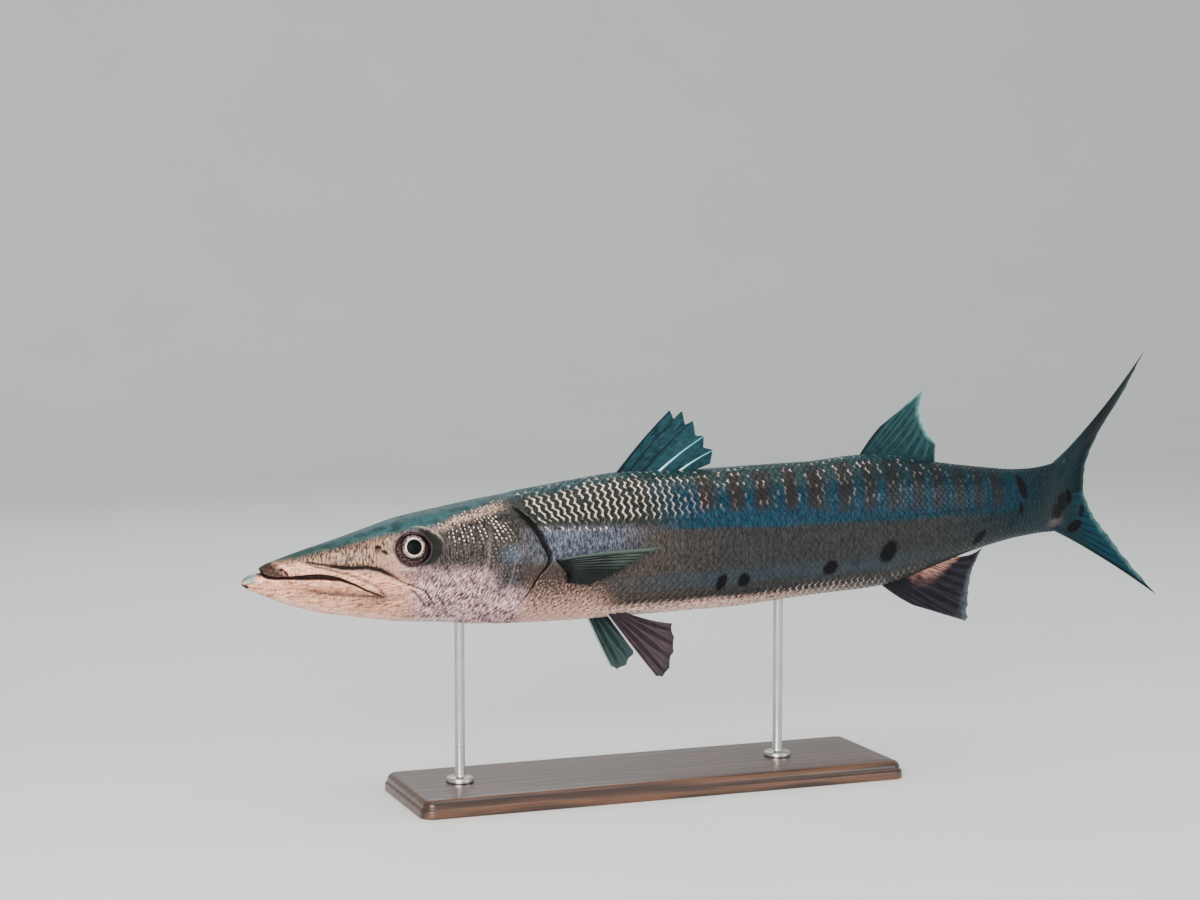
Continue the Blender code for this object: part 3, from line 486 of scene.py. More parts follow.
def painted_light_marks(station, x, z):
    """Painted shade of hollows, painted highlights of ridges, and how far a point is in the open mouth."""
    slit, over_belly, gap = slit_at(z), z - belly_at(x), mouth_gap_at(x)
    # Painted shade along the grooves, in the pits, in the gill slit and just before the gill cover's edge
    gill_edge_shade = rise_between(station, GILL_EDGE - 8, GILL_EDGE - 0.5) * rise_between(slit, 0.6, 3.0)
    dark = [-crease(x, z, line, *mark) for line, _, mark in GROOVES]
    dark += [-pit(x, z, at, halves, tilt, 2.0) for at, halves, tilt, _ in NOSTRILS + LIP_PITS]
    dark += [gill_drop(station, z), gill_edge_shade * 0.45 * (station < GILL_EDGE + 1)]
    # Painted highlights along the jaw's lower rim, on the ridges and on the rolls below two grooves
    jaw_rim_highlight = rise_between(over_belly, 0.5, 2.5) * (1 - rise_between(over_belly, 4.5, 8))
    light = [jaw_rim_highlight * rise_between(x, 2, 20) * (1 - rise_between(x, 150, 190)) * 0.8]
    light += [-crease(x, z, line, *mark) for line, _, mark in RIDGES]
    for line, below, width in ROLLS:
        light.append(-crease(x, z, [(px, pz - below) for px, pz in line], width, 0.5, 0.2))
    # The open mouth, which the skin's finish paints dark as shade
    distance, _, _ = polyline_distance(x, z, MOUTH_LINE)
    mouth = (1 - rise_between(distance, gap * 0.9, gap * 1.1 + 0.7)) * mouth_reach(x)
    marks = [np.maximum.reduce(dark), np.maximum.reduce(light), mouth]
    return np.clip(np.stack(marks, axis=-1), 0, 1)


def spaced(*spans):
    """Stations along the body: each span gives its start, its end and its spacing."""
    stations = []
    for start, end, spacing in spans:
        count = max(int(round((end - start) / spacing)), 1)
        stations += list(np.linspace(start, end, count, endpoint=False))
    return np.array(stations + [spans[-1][1]])


# Rings of the skin, closest together on the face and at the edge of the gill cover
STATIONS = spaced(
    (-17.6, -8, 1.0), (-8, 6, 0.62), (6, 122, 1.05), (122, 168, 0.85), (168, 222, 1.5),
    (222, 246, 1.2), (246, 264, 0.55), (264, 300, 2.4), (300, 700, 8.0), (700, 905, 6.0),
    (905, 925, 2.5),
)
# Spaces round half a ring, the share of them above the line of the mouth, and how close to that
# line they crowd
AROUND = 124
MOUTH_SHARE = 0.58
MOUTH_DENSE = 0.026
# Size of a scale's patch in the unwrap, for a length of 1
BAKE_PATCH = 0.003


def turns_at(station):
    """Places round the left flank, closest together along the line of the mouth."""
    middle = widest_at(station)
    rise = np.where(mouth_at(station) >= middle, back_at(station) - middle, middle - belly_at(station))
    wanted = np.arccos(np.clip((mouth_at(station) - middle) / rise, -1, 1)) / math.pi
    loose = rise_between(station, 112, 200)
    line = wanted * (1 - loose) + MOUTH_SHARE * loose
    crowd = 5.0 * (1 - rise_between(station, 100, 150))
    grid = np.linspace(0, 1, 1201)
    density = 1 + crowd * np.exp(-(((grid - line) / MOUTH_DENSE) ** 2))
    run = np.concatenate([[0], np.cumsum((density[1:] + density[:-1]) / 2)])
    at_line = np.interp(line, grid, run)
    above = int(round(AROUND * MOUTH_SHARE))
    wanted_runs = np.concatenate([
        np.linspace(0, at_line, above, endpoint=False),
        np.linspace(at_line, run[-1], AROUND - above + 1),
    ])
    return np.interp(wanted_runs, run, grid)


# Arc length round the flank, as a share from back to belly, on a table of stations and turns
TABLE_STATIONS = np.linspace(-18, 925, 472)
TABLE_TURNS = np.linspace(0, 1, 241)
TABLE_POINTS = flank(*np.meshgrid(TABLE_STATIONS, TABLE_TURNS, indexing="ij"))
TABLE_STEPS = np.linalg.norm(np.diff(TABLE_POINTS, axis=1), axis=2)
TABLE_ARC = np.pad(np.cumsum(TABLE_STEPS, axis=1), ((0, 0), (1, 0)))
HALF_GIRTH = TABLE_ARC[:, -1].copy()
TABLE_ARC /= HALF_GIRTH[:, None]
TURN_BY_ARC = np.array([np.interp(TABLE_TURNS, row, TABLE_TURNS) for row in TABLE_ARC])


def table_lookup(table, station, share):
    """Reads a table by station and by a share from 0 to 1, blending between its entries."""
    rows, columns = table.shape
    spacing = TABLE_STATIONS[1] - TABLE_STATIONS[0]
    i = np.clip((station - TABLE_STATIONS[0]) / spacing, 0, rows - 1.001)
    j = np.clip(share * (columns - 1), 0, columns - 1.001)
    i0, j0 = i.astype(int), j.astype(int)
    fi, fj = i - i0, j - j0
    low = table[i0, j0] * (1 - fj) + table[i0, j0 + 1] * fj
    high = table[i0 + 1, j0] * (1 - fj) + table[i0 + 1, j0 + 1] * fj
    return low * (1 - fi) + high * fi


def girth_at(station):
    """Half the way round the body."""
    return np.interp(station, TABLE_STATIONS, HALF_GIRTH)


def bake_u(station):
    """The head takes a larger share of the unwrap than its length."""
    return np.interp(station, [-20, 300, 930], [0.004, 0.5, 0.996])


def flank_by_arc(station, arc):
    """Points of the plain left flank, by station and share of the arc from back to belly."""
    return flank(station, np.clip(table_lookup(TURN_BY_ARC, station, np.clip(arc, 0.0, 1.0)), 0, 1))


def surface(station, arc, lift):
    """Points over the plain left flank, lifted along its own outward direction."""
    step_s, step_a = 1.0, 0.006
    low, high = np.clip(arc - step_a, 0.0005, 0.9995), np.clip(arc + step_a, 0.0005, 0.9995)
    along = flank_by_arc(station + step_s, arc) - flank_by_arc(station - step_s, arc)
    down = flank_by_arc(station, high) - flank_by_arc(station, low)
    return flank_by_arc(station, arc) + unit(np.cross(down, along)) * lift[..., None]


def mesh_piece(name, points, faces, finish, vectors=None, uvs=None, flat_above=None):
    """A mesh from arrays: faces is a list of arrays of quads or triangles."""
    mesh = bpy.data.meshes.new(name)
    sizes = np.concatenate([np.full(len(f), f.shape[1]) for f in faces])
    loops = np.concatenate([np.asarray(f).reshape(-1) for f in faces])
    mesh.vertices.add(len(points))
    mesh.vertices.foreach_set("co", np.asarray(points, np.float32).reshape(-1))
    mesh.loops.add(len(loops))
    mesh.loops.foreach_set("vertex_index", loops.astype(np.int32))
    mesh.polygons.add(len(sizes))
    starts = np.concatenate([[0], np.cumsum(sizes)[:-1]])
    mesh.polygons.foreach_set("loop_start", starts.astype(np.int32))
    mesh.update(calc_edges=True)
    for key, values in (vectors or {}).items():
        layer = mesh.attributes.new(key, "FLOAT_VECTOR", "POINT")
        layer.data.foreach_set("vector", np.asarray(values, np.float32).reshape(-1))
    if uvs is not None:
        layer = mesh.uv_layers.new(name="OFBake")
        per_loop = uvs[loops] if len(uvs) == len(points) else uvs
        layer.data.foreach_set("uv", np.asarray(per_loop, np.float32).reshape(-1))
    mesh.validate()
    mesh.materials.append(finish)
    mesh.shade_smooth()
    if flat_above:
        mesh.set_sharp_from_angle(angle=math.radians(flat_above))
    obj = bpy.data.objects.new(name, mesh)
    bpy.context.scene.collection.objects.link(obj)
    return obj


def grid_faces(rows, columns, closed=False):
    """Quads of a grid whose points run along each row; closed joins the last column to the first."""
    spans = columns if closed else columns - 1
    i, j = np.meshgrid(np.arange(rows - 1), np.arange(spans), indexing="ij")
    a, b = i * columns + j, i * columns + (j + 1) % columns
    return np.stack([a, b, b + columns, a + columns], axis=-1).reshape(-1, 4)


def tube_faces(rows, columns):
    """Quads of a closed grid, then fans from its ends to the two points that follow its own."""
    j = np.arange(columns)
    k = (j + 1) % columns
    end, centre = (rows - 1) * columns, np.full(columns, rows * columns)
    first = np.stack([k, j, centre], axis=-1)
    last = np.stack([j + end, k + end, centre + 1], axis=-1)
    return [grid_faces(rows, columns, closed=True), first, last]


def sheet_faces(rows, columns):
    """A grid, its copy behind it, and the strip that joins their edges."""
    face, size = grid_faces(rows, columns), rows * columns
    grid = np.arange(size).reshape(rows, columns)
    rim = np.concatenate([grid[0], grid[1:, -1], grid[-1, -2::-1], grid[-2:0:-1, 0]])
    after = np.roll(rim, -1)
    skirt = np.stack([rim, rim + size, after + size, after], axis=-1)
    return np.concatenate([face, (face + size)[:, ::-1], skirt])


def level_marks(points):
    """Depth under the plain teal back, height over the belly, height over the blue band's edge."""
    x, z = points[..., 0], points[..., 2]
    return np.stack([teal_at(x) - z, z - belly_at(x), z - blue_at(x)], axis=-1)


# Materials


class Wire:
    """A socket of a shader that takes part in plain arithmetic."""

    def __init__(self, finish, socket):
        self.finish, self.socket = finish, socket

    def math(self, operation, *others):
        sockets = dict(enumerate((self, *others)))
        return self.finish.wire("ShaderNodeMath", 0, {"operation": operation}, sockets)

    def __add__(self, other):
        return self.math("ADD", other)

    def __sub__(self, other):
        return self.math("SUBTRACT", other)

    def __rsub__(self, other):
        return self.finish.wire("ShaderNodeMath", 0, {"operation": "SUBTRACT"}, {0: other, 1: self})

    def __mul__(self, other):
        return self.math("MULTIPLY", other)

    def __truediv__(self, other):
        return self.math("DIVIDE", other)

    def __abs__(self):
        return self.math("ABSOLUTE")

    __radd__, __rmul__ = __add__, __mul__

    def capped(self):
        return self.math("MINIMUM", 1.0)

    def root(self):
        return self.math("SQRT")

    def step(self, low, high):
        """0 below low, 1 above high, smooth between them; the other way round if low is larger."""
        if low > high:
            return 1 - self.step(high, low)
        sockets = {"Value": self, "From Min": low, "From Max": high}
        return self.finish.wire("ShaderNodeMapRange", 0, {"interpolation_type": "SMOOTHSTEP"}, sockets)

    def within(self, low, high, soft):
        return self.step(low - soft, low + soft) * self.step(high + soft, high - soft)

    def near(self, middle, width):
        """1 at the middle, falling smoothly to 0 a width away."""
        return abs(self - middle).step(width, 0)


class Finish:
    """A material made of a Principled shader and the nodes that vary it over the surface."""

    def __init__(self, name, **constants):
        self.material = bpy.data.materials.new(name)
        self.material.use_nodes = True
        self.tree = self.material.node_tree
        self.shader = self.tree.nodes["Principled BSDF"]
        for socket, value in constants.items():
            self.shader.inputs[socket.replace("_", " ")].default_value = value

    def node(self, kind, settings=None, sockets=None):
        node = self.tree.nodes.new(kind)
        for key, value in (settings or {}).items():
            if key == "stops":
                ramp = node.color_ramp
                while len(ramp.elements) < len(value):
                    ramp.elements.new(0.5)
                for element, (position, colour) in zip(ramp.elements, value):
                    element.position = position
                    element.color = (*colour, 1.0) if isinstance(colour, tuple) else (colour,) * 3 + (1.0,)
            elif key == "ramp":
                node.color_ramp.interpolation = value
            else:
                setattr(node, key, value)
        for key, value in (sockets or {}).items():
            self.link(node.inputs[key], value)
        return node

    def link(self, socket, value):
        if isinstance(value, Wire):
            self.tree.links.new(value.socket, socket)
        elif isinstance(value, tuple) and len(value) == 3 and len(socket.default_value) == 4:
            socket.default_value = (*value, 1.0)
        else:
            socket.default_value = value

    def wire(self, kind, output, settings=None, sockets=None):
        return Wire(self, self.node(kind, settings, sockets).outputs[output])

    def set(self, **sockets):
        for socket, value in sockets.items():
            self.link(self.shader.inputs[socket.replace("_", " ")], value)

    def attribute(self, name):
        return self.wire("ShaderNodeAttribute", "Vector", {"attribute_name": name})

    def split(self, vector):
        parts = self.node("ShaderNodeSeparateXYZ", None, {0: vector})
        return [Wire(self, parts.outputs[i]) for i in range(3)]

    def noise(self, vector, stretch, detail=3, roughness=0.5, distortion=0.0):
        """Noise over a vector whose axes are first multiplied by stretch."""
        scaled = self.wire("ShaderNodeVectorMath", 0, {"operation": "MULTIPLY"}, {0: vector, 1: stretch})
        return self.wire("ShaderNodeTexNoise", 0, None, {
            "Vector": scaled, "Scale": 1.0, "Detail": detail, "Roughness": roughness,
            "Distortion": distortion,
        })

    def combine(self, x, y, z):
        return self.wire("ShaderNodeCombineXYZ", 0, None, {0: x, 1: y, 2: z})

    def richer(self, colour, saturation, value):
        sockets = {"Saturation": saturation, "Value": value, "Color": colour}
        return self.wire("ShaderNodeHueSaturation", 0, None, sockets)

    def mix(self, share, first, second):
        """Colours blended by a share from 0 to 1."""
        return self.wire("ShaderNodeMix", 2, {"data_type": "RGBA"}, {0: share, 6: first, 7: second})

    def coats(self, colour, *layers):
        """Paints layers over a colour, each given by its mask and the colour that it brings."""
        for mask, paint in layers:
            colour = self.mix(mask, colour, paint)
        return colour

    def ramp(self, value, stops, interpolation="LINEAR"):
        return self.wire("ShaderNodeValToRGB", 0, {"stops": stops, "ramp": interpolation}, {0: value})

    def bump(self, height, strength, distance):
        sockets = {"Height": height, "Strength": strength, "Distance": distance}
        return self.wire("ShaderNodeBump", 0, None, sockets)


def body_colour(f, at, noises):
    """Flank, blue band with dark bars, and belly."""
    x, z, under_teal, over_belly, over_blue = at
    fine, blotch, drift = noises
    wander = drift * 14
    streaks = (fine * 2.6 + 0.5).step(0.1, 0.9)

    # Ground of the flank: grey brown, greyer towards the tail, silver blue behind the gill
    brown = f.mix(streaks, srgb(72, 64, 58), srgb(122, 110, 102))
    grey = f.mix(streaks, srgb(50, 50, 49), srgb(82, 82, 81))
    tail_grey = f.mix(streaks, srgb(4, 32, 38), srgb(26, 62, 70))
    silver = f.mix((fine * 3.2 + 0.5).step(0.15, 0.85), srgb(66, 76, 94), srgb(166, 174, 194))
    silver_zone = x.within(262, 366, 34) * (z + wander).within(-13, 20, 7)
    cool_zone = x.within(360, 700, 60) * (z + wander).near(-44, 15)
    # Upper flank in front: dark green grey, under the painted glints of the scale edges
    upper_front = over_blue.step(2, 12) * x.step(560, 470)
    colour = f.coats(
        brown,
        ((x + wander * 2).step(350, 500), grey),
        ((x + wander).step(690, 840), tail_grey),
        (silver_zone * 0.9, silver),
        (cool_zone * 0.5, srgb(76, 98, 112)),
        (upper_front, f.mix(streaks, srgb(34, 44, 40), srgb(70, 78, 68))),
    )

    # Blue band, greener above, with dark bars over it
    blue = f.mix(streaks, srgb(20, 50, 66), srgb(48, 98, 122))
    blue = f.mix(x.step(500, 800), blue, f.mix(streaks, srgb(4, 42, 58), srgb(24, 82, 102)))
    back = f.mix(streaks, srgb(34, 62, 64), srgb(72, 102, 104))
    back = f.mix(x.step(560, 720), back, f.mix(streaks, srgb(18, 48, 52), srgb(46, 86, 92)))
    band = (x + wander * 2).step(370, 440) * (over_blue + wander * 0.3).step(-3, 4)
    band = band * (x + wander).step(870, 810)
    low, high = BARS[0] - 20, BARS[-1] + 20
    stops = []
    for bar in BARS:
        start, middle = (bar - BAR_HALF * 1.5 - low) / (high - low), (bar - low) / (high - low)
        stops += [(start, 0.0), (middle, 1.0)]
    stops.append((1.0, 0.0))
    lean = (z - 10) * -0.16
    bars = f.ramp((x + lean + blotch * 9 - low) / (high - low), stops, "EASE") * 1.2
    over_end = z - 57.0 + x * 0.072 - blotch * 12
    bars = bars.capped() * over_end.step(-4, 7) * under_teal.step(-4, 9)
    colour = f.coats(
        colour,
        (band, blue),
        (band * (over_blue + blotch * 14).step(30, 50), back),
        (bars * 0.92, f.mix(x.step(450, 800), srgb(64, 54, 48), srgb(42, 48, 52))),
    )
    colour = f.richer(colour, 1.08, 0.40)

    # Belly: painted glints as pale pink silver strokes on a darker ground, warmer at the throat
    slanted = f.combine(x - z * 0.6, 0.0, z)
    grain = f.noise(slanted, (0.34, 1, 0.30), 3, 0.6) - 0.5
    thin = f.noise(slanted, (0.6, 1, 0.36), 3, 0.6) - 0.5
    belly_glints = (grain * 4.2 + 0.74).step(0.3, 0.85)
    belly = (over_belly + wander * 0.35 + x.step(440, 620) * 5).step(18, 9) * x.step(670, 440)
    throat = (z * -0.55 - x + wander + 310).step(-20, 26) * z.step(-6, -26)
    warm = (thin * 2.6 + (z + 46) * -0.018 + 0.26).step(0.0, 1.0)
    # Painted highlight: a pale patch low on the root of the tail
    peduncle_highlight = x.near(899, 26) * (z + blotch * 6).near(-27, 9)
    return f.coats(
        colour,
        (peduncle_highlight * 0.45, srgb(124, 104, 102)),
        (belly * 0.95, f.mix(belly_glints, srgb(132, 86, 76), srgb(255, 214, 200))),
        (throat * 0.9, f.mix(warm, srgb(54, 42, 39), srgb(246, 192, 174))),
    )


def head_colour(f, at, noises):
    """Copper pink jaws, a mottled snout, a bright cheek below and a dark olive one above."""
    x, z, under_teal = at
    fine, blotch, drift = noises
    wander = drift * 12
    streaks = (fine * 3.2 + blotch * 0.7 + 0.5).step(0.1, 0.9)

    # Snout and jaws
    ripple = f.noise(f.combine(x + z * 1.2, 0.0, z - x * 0.12), (0.09, 1, 0.5), 4, 0.6) - 0.5
    snout = f.mix(streaks, srgb(52, 38, 31), srgb(168, 130, 106))
    jaw = f.mix((ripple * 2.6 + fine + 0.52).step(0.0, 0.9), srgb(134, 78, 58), srgb(255, 190, 158))
    warm = (z + x * 0.14).near(-17.5, 3.5) * x.within(22, 78, 10)
    jaw_shade = (z + x * 0.10 + wander * 0.5).near(-25, 7) * x.within(34, 134, 14)
    lip = x.within(-2, 60, 14) * (z + x * 0.1).within(-12, -2, 3)
    rear_shade = x.near(103, 24) * (z + wander * 0.5).near(-41, 14)
    colour = f.coats(
        jaw,
        ((z + x * 0.19 - 8 + wander * 0.4).step(-8, 5), snout),
        (warm * 0.55, srgb(164, 92, 64)),
        (jaw_shade * 0.6, f.mix(streaks, srgb(80, 56, 46), srgb(150, 112, 94))),
        (lip * 0.8, f.mix(streaks, srgb(170, 108, 86), srgb(246, 184, 156))),
        (rear_shade * 0.65, f.mix(streaks, srgb(70, 52, 48), srgb(140, 108, 98))),
    )

    # Cheek: bright strokes below, dark olive above
    strokes = f.noise(f.combine(x - z * 0.55, 0.0, z), (0.66, 1, 0.22), 4, 0.6) - 0.5
    bright = (strokes * 4.2 + blotch * 1.5 + drift * 0.8 + 0.46).step(0.0, 1.0)
    shine = (strokes * 3.4 + 0.3).step(0.62, 0.9)
    cheek = f.mix(bright, srgb(84, 58, 60), srgb(255, 212, 212))
    cheek = f.mix(shine * 0.8, cheek, srgb(255, 238, 238))
    dark_streaks = (fine * 2.8 + 0.5).step(0.1, 0.95)
    olive = f.mix(dark_streaks, srgb(24, 23, 21), srgb(76, 70, 66))
    cover = f.mix(dark_streaks, srgb(26, 26, 29), srgb(74, 72, 76))
    rise = (z + wander * 0.9).step(-30, -4)
    cool = x.near(244, 22) * z.near(-3, 15)
    near_eye = x.within(112, 134, 9) * z.within(-14, 8, 7)
    below_eye = x.near(150, 26) * z.near(-17, 9)
    # A thin pale pink band under the teal back, partly the skin's silver and partly painted reflection
    nape = (x + wander).within(172, 238, 12) * (under_teal - wander * 0.4).within(0.5, 8, 3.5)
    return f.coats(
        colour,
        ((x + wander).step(118, 160), cheek),
        ((x + wander).step(206, 236) * (z + wander * 0.5).step(-52, -28), cover),
        ((x - z * 0.35 + blotch * 10).step(146, 168) * rise, olive),
        (cool * 0.6, srgb(88, 100, 118)),
        (near_eye * 0.5, srgb(186, 146, 124)),
        (below_eye * 0.45, srgb(96, 78, 72)),
        (nape * 0.8, f.mix(streaks, srgb(96, 74, 62), srgb(236, 196, 174))),
    )


def eye_surround(x, z):
    """Layers of the adipose lid: dark behind the eye, with a painted highlight on its rim at the upper rear.
    """
    lid, eye = oval(x, z, LID_AT, LID_HALF).root(), oval(x, z, EYE_AT, EYE_HALF).root()
    behind_eye = x.step(EYE_X - 4, EYE_X + 12)
    # Painted highlight along the lid's rim, at its upper rear
    rim = lid.near(1.05, 0.06) * behind_eye * z.step(10, 22)
    return [
        (lid.step(1.05, 0.88) * behind_eye, srgb(22, 24, 20)),
        (eye.near(1.06, 0.15), srgb(40, 28, 34)),
        (eye.step(1.0, 0.93), srgb(8, 6, 7)),
        (rim * 0.55, srgb(190, 164, 146)),
    ]


def blotch_ink(x, z, ragged, blotches):
    """Black blotches, as a share from 0 to 1."""
    inked = None
    for at, halves, tilt, dark in blotches:
        ink = (oval(x, z, at, halves, tilt) + ragged * 1.1).step(1.5, 0.55) * dark
        inked = ink if inked is None else inked.math("MAXIMUM", ink)
    return inked


def fish_finish():
    """Skin and scales share this finish, so that they carry the same markings."""
    f = Finish("barracuda_skin", IOR=1.22)
    spot = f.attribute("fish")
    x, _, z = f.split(spot)
    under_teal, over_belly, over_blue = f.split(f.attribute("levels"))
    along, across, own = f.split(f.attribute("scale"))
    # Painted shade of the hollows, painted highlights of the face, and the open mouth, painted dark as shade
    hollow, face_highlight, mouth = f.split(f.attribute("marks"))
    drift = f.noise(spot, (0.02, 0.02, 0.035)) - 0.5
    blotch = f.noise(spot, (0.11, 0.11, 0.11), 4) - 0.5
    fine = f.noise(spot, (0.62, 0.4, 0.19), 3, 0.6, 0.4) - 0.5
    grain = f.noise(spot, (1.3, 1.3, 1.3), 3, 0.6) - 0.5
    ragged = f.noise(spot, (0.28, 0.28, 0.28)) - 0.5
    streaks = (fine * 2.6 + 0.5).step(0.1, 0.9)
    noises = (fine, blotch, drift)
    on_body = x.step(244, 262)
    body = body_colour(f, (x, z, under_teal, over_belly, over_blue), noises)
    head = head_colour(f, (x, z, under_teal), noises)

    # Plain teal back from the snout to the tail, greener in front
    teal = f.mix((blotch * 2 + fine + 0.5).step(0.1, 0.9), srgb(26, 50, 54), srgb(48, 84, 86))
    teal = f.mix(x.step(10, 120), srgb(36, 62, 56), teal)
    teal_mask = (under_teal + blotch * 4).step(4.5, -3.5)

    # Dark tip of the upper jaw, pale tip of the chin with a dark spot below
    tip = (x + z * 0.8 + blotch * 8).within(-16, 14, 5) * x.step(34, 20) * (z + x * 0.12).step(-12, -8)
    chin = (x + blotch * 5).step(-2, -9) * (z + x * 0.2).step(-22, -15)
    inked = blotch_ink(x, z, ragged, BLOTCHES + TAIL_BLOTCHES)
    colour = f.coats(
        f.mix(on_body, head, body),
        # Painted highlights on the ridges of the face and along the jaw's lower rim
        (face_highlight * (1 - on_body) * 0.45, srgb(250, 216, 200)),
        (teal_mask, teal),
        (tip * 0.95, f.mix(streaks, srgb(13, 10, 9), srgb(46, 34, 29))),
        (chin * 0.92, srgb(108, 140, 132)),
        (x.step(-11, -14) * z.step(-16.5, -18.5), srgb(24, 24, 28)),
        *eye_surround(x, z),
        (inked * 0.985, srgb(5, 5, 9)),
    )

    # Painted glints on the rear part of each scale: zigzag columns over the upper flank, strokes over the
    # belly
    odd_row = own.step(0.499, 0.501)
    chance = (own * 2).math("FRACT")
    out = abs(across)
    front = x.step(460, 330)
    zigzag = out * 0.76 + odd_row * (0.08 - out * 1.04)
    off_line = abs(along - zigzag - 0.71 + grain * 0.10) - front * 0.022
    bar = off_line.step(0.11, 0.02) * out.step(0.42, 0.34) * (1 - across.step(-0.05, 0.12) * 0.4)
    bright = (blotch * 2.0 + grain * 1.2 + chance * 0.4 + front * 0.3 + 0.4).step(0.2, 0.95)
    upper = (under_teal + blotch * 10).within(3, 70, 4) * (over_blue + blotch * 14).step(9, 17)
    upper = upper * x.step(470, 350) * chance.step(0.0, 0.25)
    dotted = over_blue.near(4.5, 3.0) * x.within(262, 350, 8) * chance.step(0.3, 0.5)
    top_row = (under_teal + blotch * 8).within(-2, 14, 4)
    sparse = (top_row + 0.35) * (over_blue - 16).step(0, 8) * x.step(840, 540) * chance.step(0.6, 0.9)
    low_edge = over_belly.step(20, 12) * x.step(285, 340) * x.step(740, 540)
    glint = (upper + dotted + sparse * 0.6 + low_edge).capped() * bar * bright * on_body * (1 - inked)
    edge = along.step(0.72, 0.9) * along.step(1.0, 0.95) * chance.step(0.2, 1.0) * on_body * (1 - glint)
    # Painted glints on the small scales of the head, strongest behind and above the eye
    head_glint = along.within(0.52, 0.80, 0.08) * out.step(0.34, 0.2) * (1 - on_body) * own.step(0.2, 0.5)
    head_glint_zone = (x + blotch * 16).within(160, 240, 10) * (z + blotch * 16).within(14, 46, 6)

    # Painted glints and sheen go over the ground; painted shade turns hollows near black and the mouth dark
    # purple
    colour = f.coats(
        colour,
        ((glint * 1.15).capped(), f.mix(blotch + 0.5, srgb(255, 206, 178), srgb(255, 236, 226))),
        # A faint painted sheen on the rear part of each scale
        (edge * 0.05 * (1 - inked), srgb(170, 176, 178)),
        # A painted shadow along the rear edge of each scale
        (along.step(0.94, 1.0) * on_body * 0.3, srgb(16, 18, 18)),
        (head_glint * (head_glint_zone * 0.95 + 0.10), srgb(255, 226, 206)),
        (hollow * 0.97, srgb(6, 5, 6)),
        (mouth * 0.97, srgb(10, 6, 14)),
    )

    wrinkle = f.noise(spot, (0.10, 0.3, 0.42), 4, 0.6)
    streak = f.noise(spot, (0.75, 0.5, 0.22), 3, 0.55)
    cheek_share = x.step(125, 165)
    rough = cheek_share * streak + (1 - cheek_share) * wrinkle
    clear = (1 - inked) * (1 - hollow) * (1 - mouth)
    f.set(
        Base_Color=colour,
        Roughness=0.36 + fine * 0.2 - glint * 0.10 + (1 - clear) * 0.2 + teal_mask * 0.12,
        Metallic=((1 - teal_mask) * (0.42 - on_body * 0.12) + glint * 0.15) * clear * x.step(900, 760),
        Coat_Weight=x.step(880, 740) * 0.16 * clear * (1 - teal_mask),
        Coat_Roughness=0.2,
        Normal=f.bump(rough * (1 - on_body * 0.75) * (1 - teal_mask * 0.8), 0.8, 0.0018),
    )
    return f.material


def times(colour, factor):
    return tuple(min(c * factor, 1) for c in colour)


def fin_finish(name, web, ray, tip, front=None, alpha=1.0, base=None, body=None, streaked=None):
    """Membrane and rays of a fin: fin holds across, along and how far a point is on a ray."""
    f = Finish(name, Roughness=0.42, IOR=1.16)
    marks = f.attribute("fin")
    across, along, on_ray = f.split(marks)
    spot = f.attribute("fish")
    shade = f.noise(spot, (0.12, 0.12, 0.12), 4)
    streaks = f.noise(marks, (60, 4, 0), 3, 0.6)
    tone = (shade * 0.6 + streaks * 0.5).step(0.3, 0.8)
    joints = (along * 260.0).math("SINE").step(0.2, 0.9)
    shown_ray = on_ray * along.step(0.02, 0.4) * streaks.step(0.2, 0.6)
    layers = [
        (shown_ray * 0.7, f.mix(joints * 0.3, ray, times(ray, 0.6))),
        ((along + shade * 0.2).step(0.94, 1.14) * 0.7, tip),
    ]
    if front:
        layers.append((across.step(0.10, 0.02), front))
    if base:
        # Painted sheen: pale pink strokes near the root of the rear rays
        base_sheen = along.step(0.42, 0.05) * (across + shade * 0.3).step(0.5, 0.95) * streaks.step(0.35, 0.6)
        layers.append((base_sheen, base))
    if streaked:
        outer = along.within(0.22, 0.98, 0.14) * (across + shade * 0.3).step(0.75, 0.4)
        layers.append((outer * on_ray * streaks.step(0.3, 0.6) * 0.85, streaked))
        layers.append((along.step(0.16, 0.02), srgb(8, 10, 12)))
    if body:
        x, _, z = f.split(spot)
        fine = f.noise(spot, (0.62, 0.4, 0.19), 3, 0.6, 0.4)
        root = (x + abs(z) * -0.3 + shade * 14).step(966, 930)
        layers.append((root, f.mix(fine, times(body, 0.5), times(body, 1.5))))
        layers.append((blotch_ink(x, z, shade - 0.5, TAIL_BLOTCHES) * 0.98, srgb(5, 5, 9)))
    f.set(Base_Color=f.coats(f.mix(tone, times(web, 0.5), times(web, 1.5)), *layers))
    f.set(Normal=f.bump(joints * on_ray + shade * 0.4, 0.25, 0.0006))
    if alpha < 1:
        f.set(Alpha=(on_ray * 0.5 + along.step(0.55, 0.2)).capped() * (1 - alpha) + alpha)
    return f.material


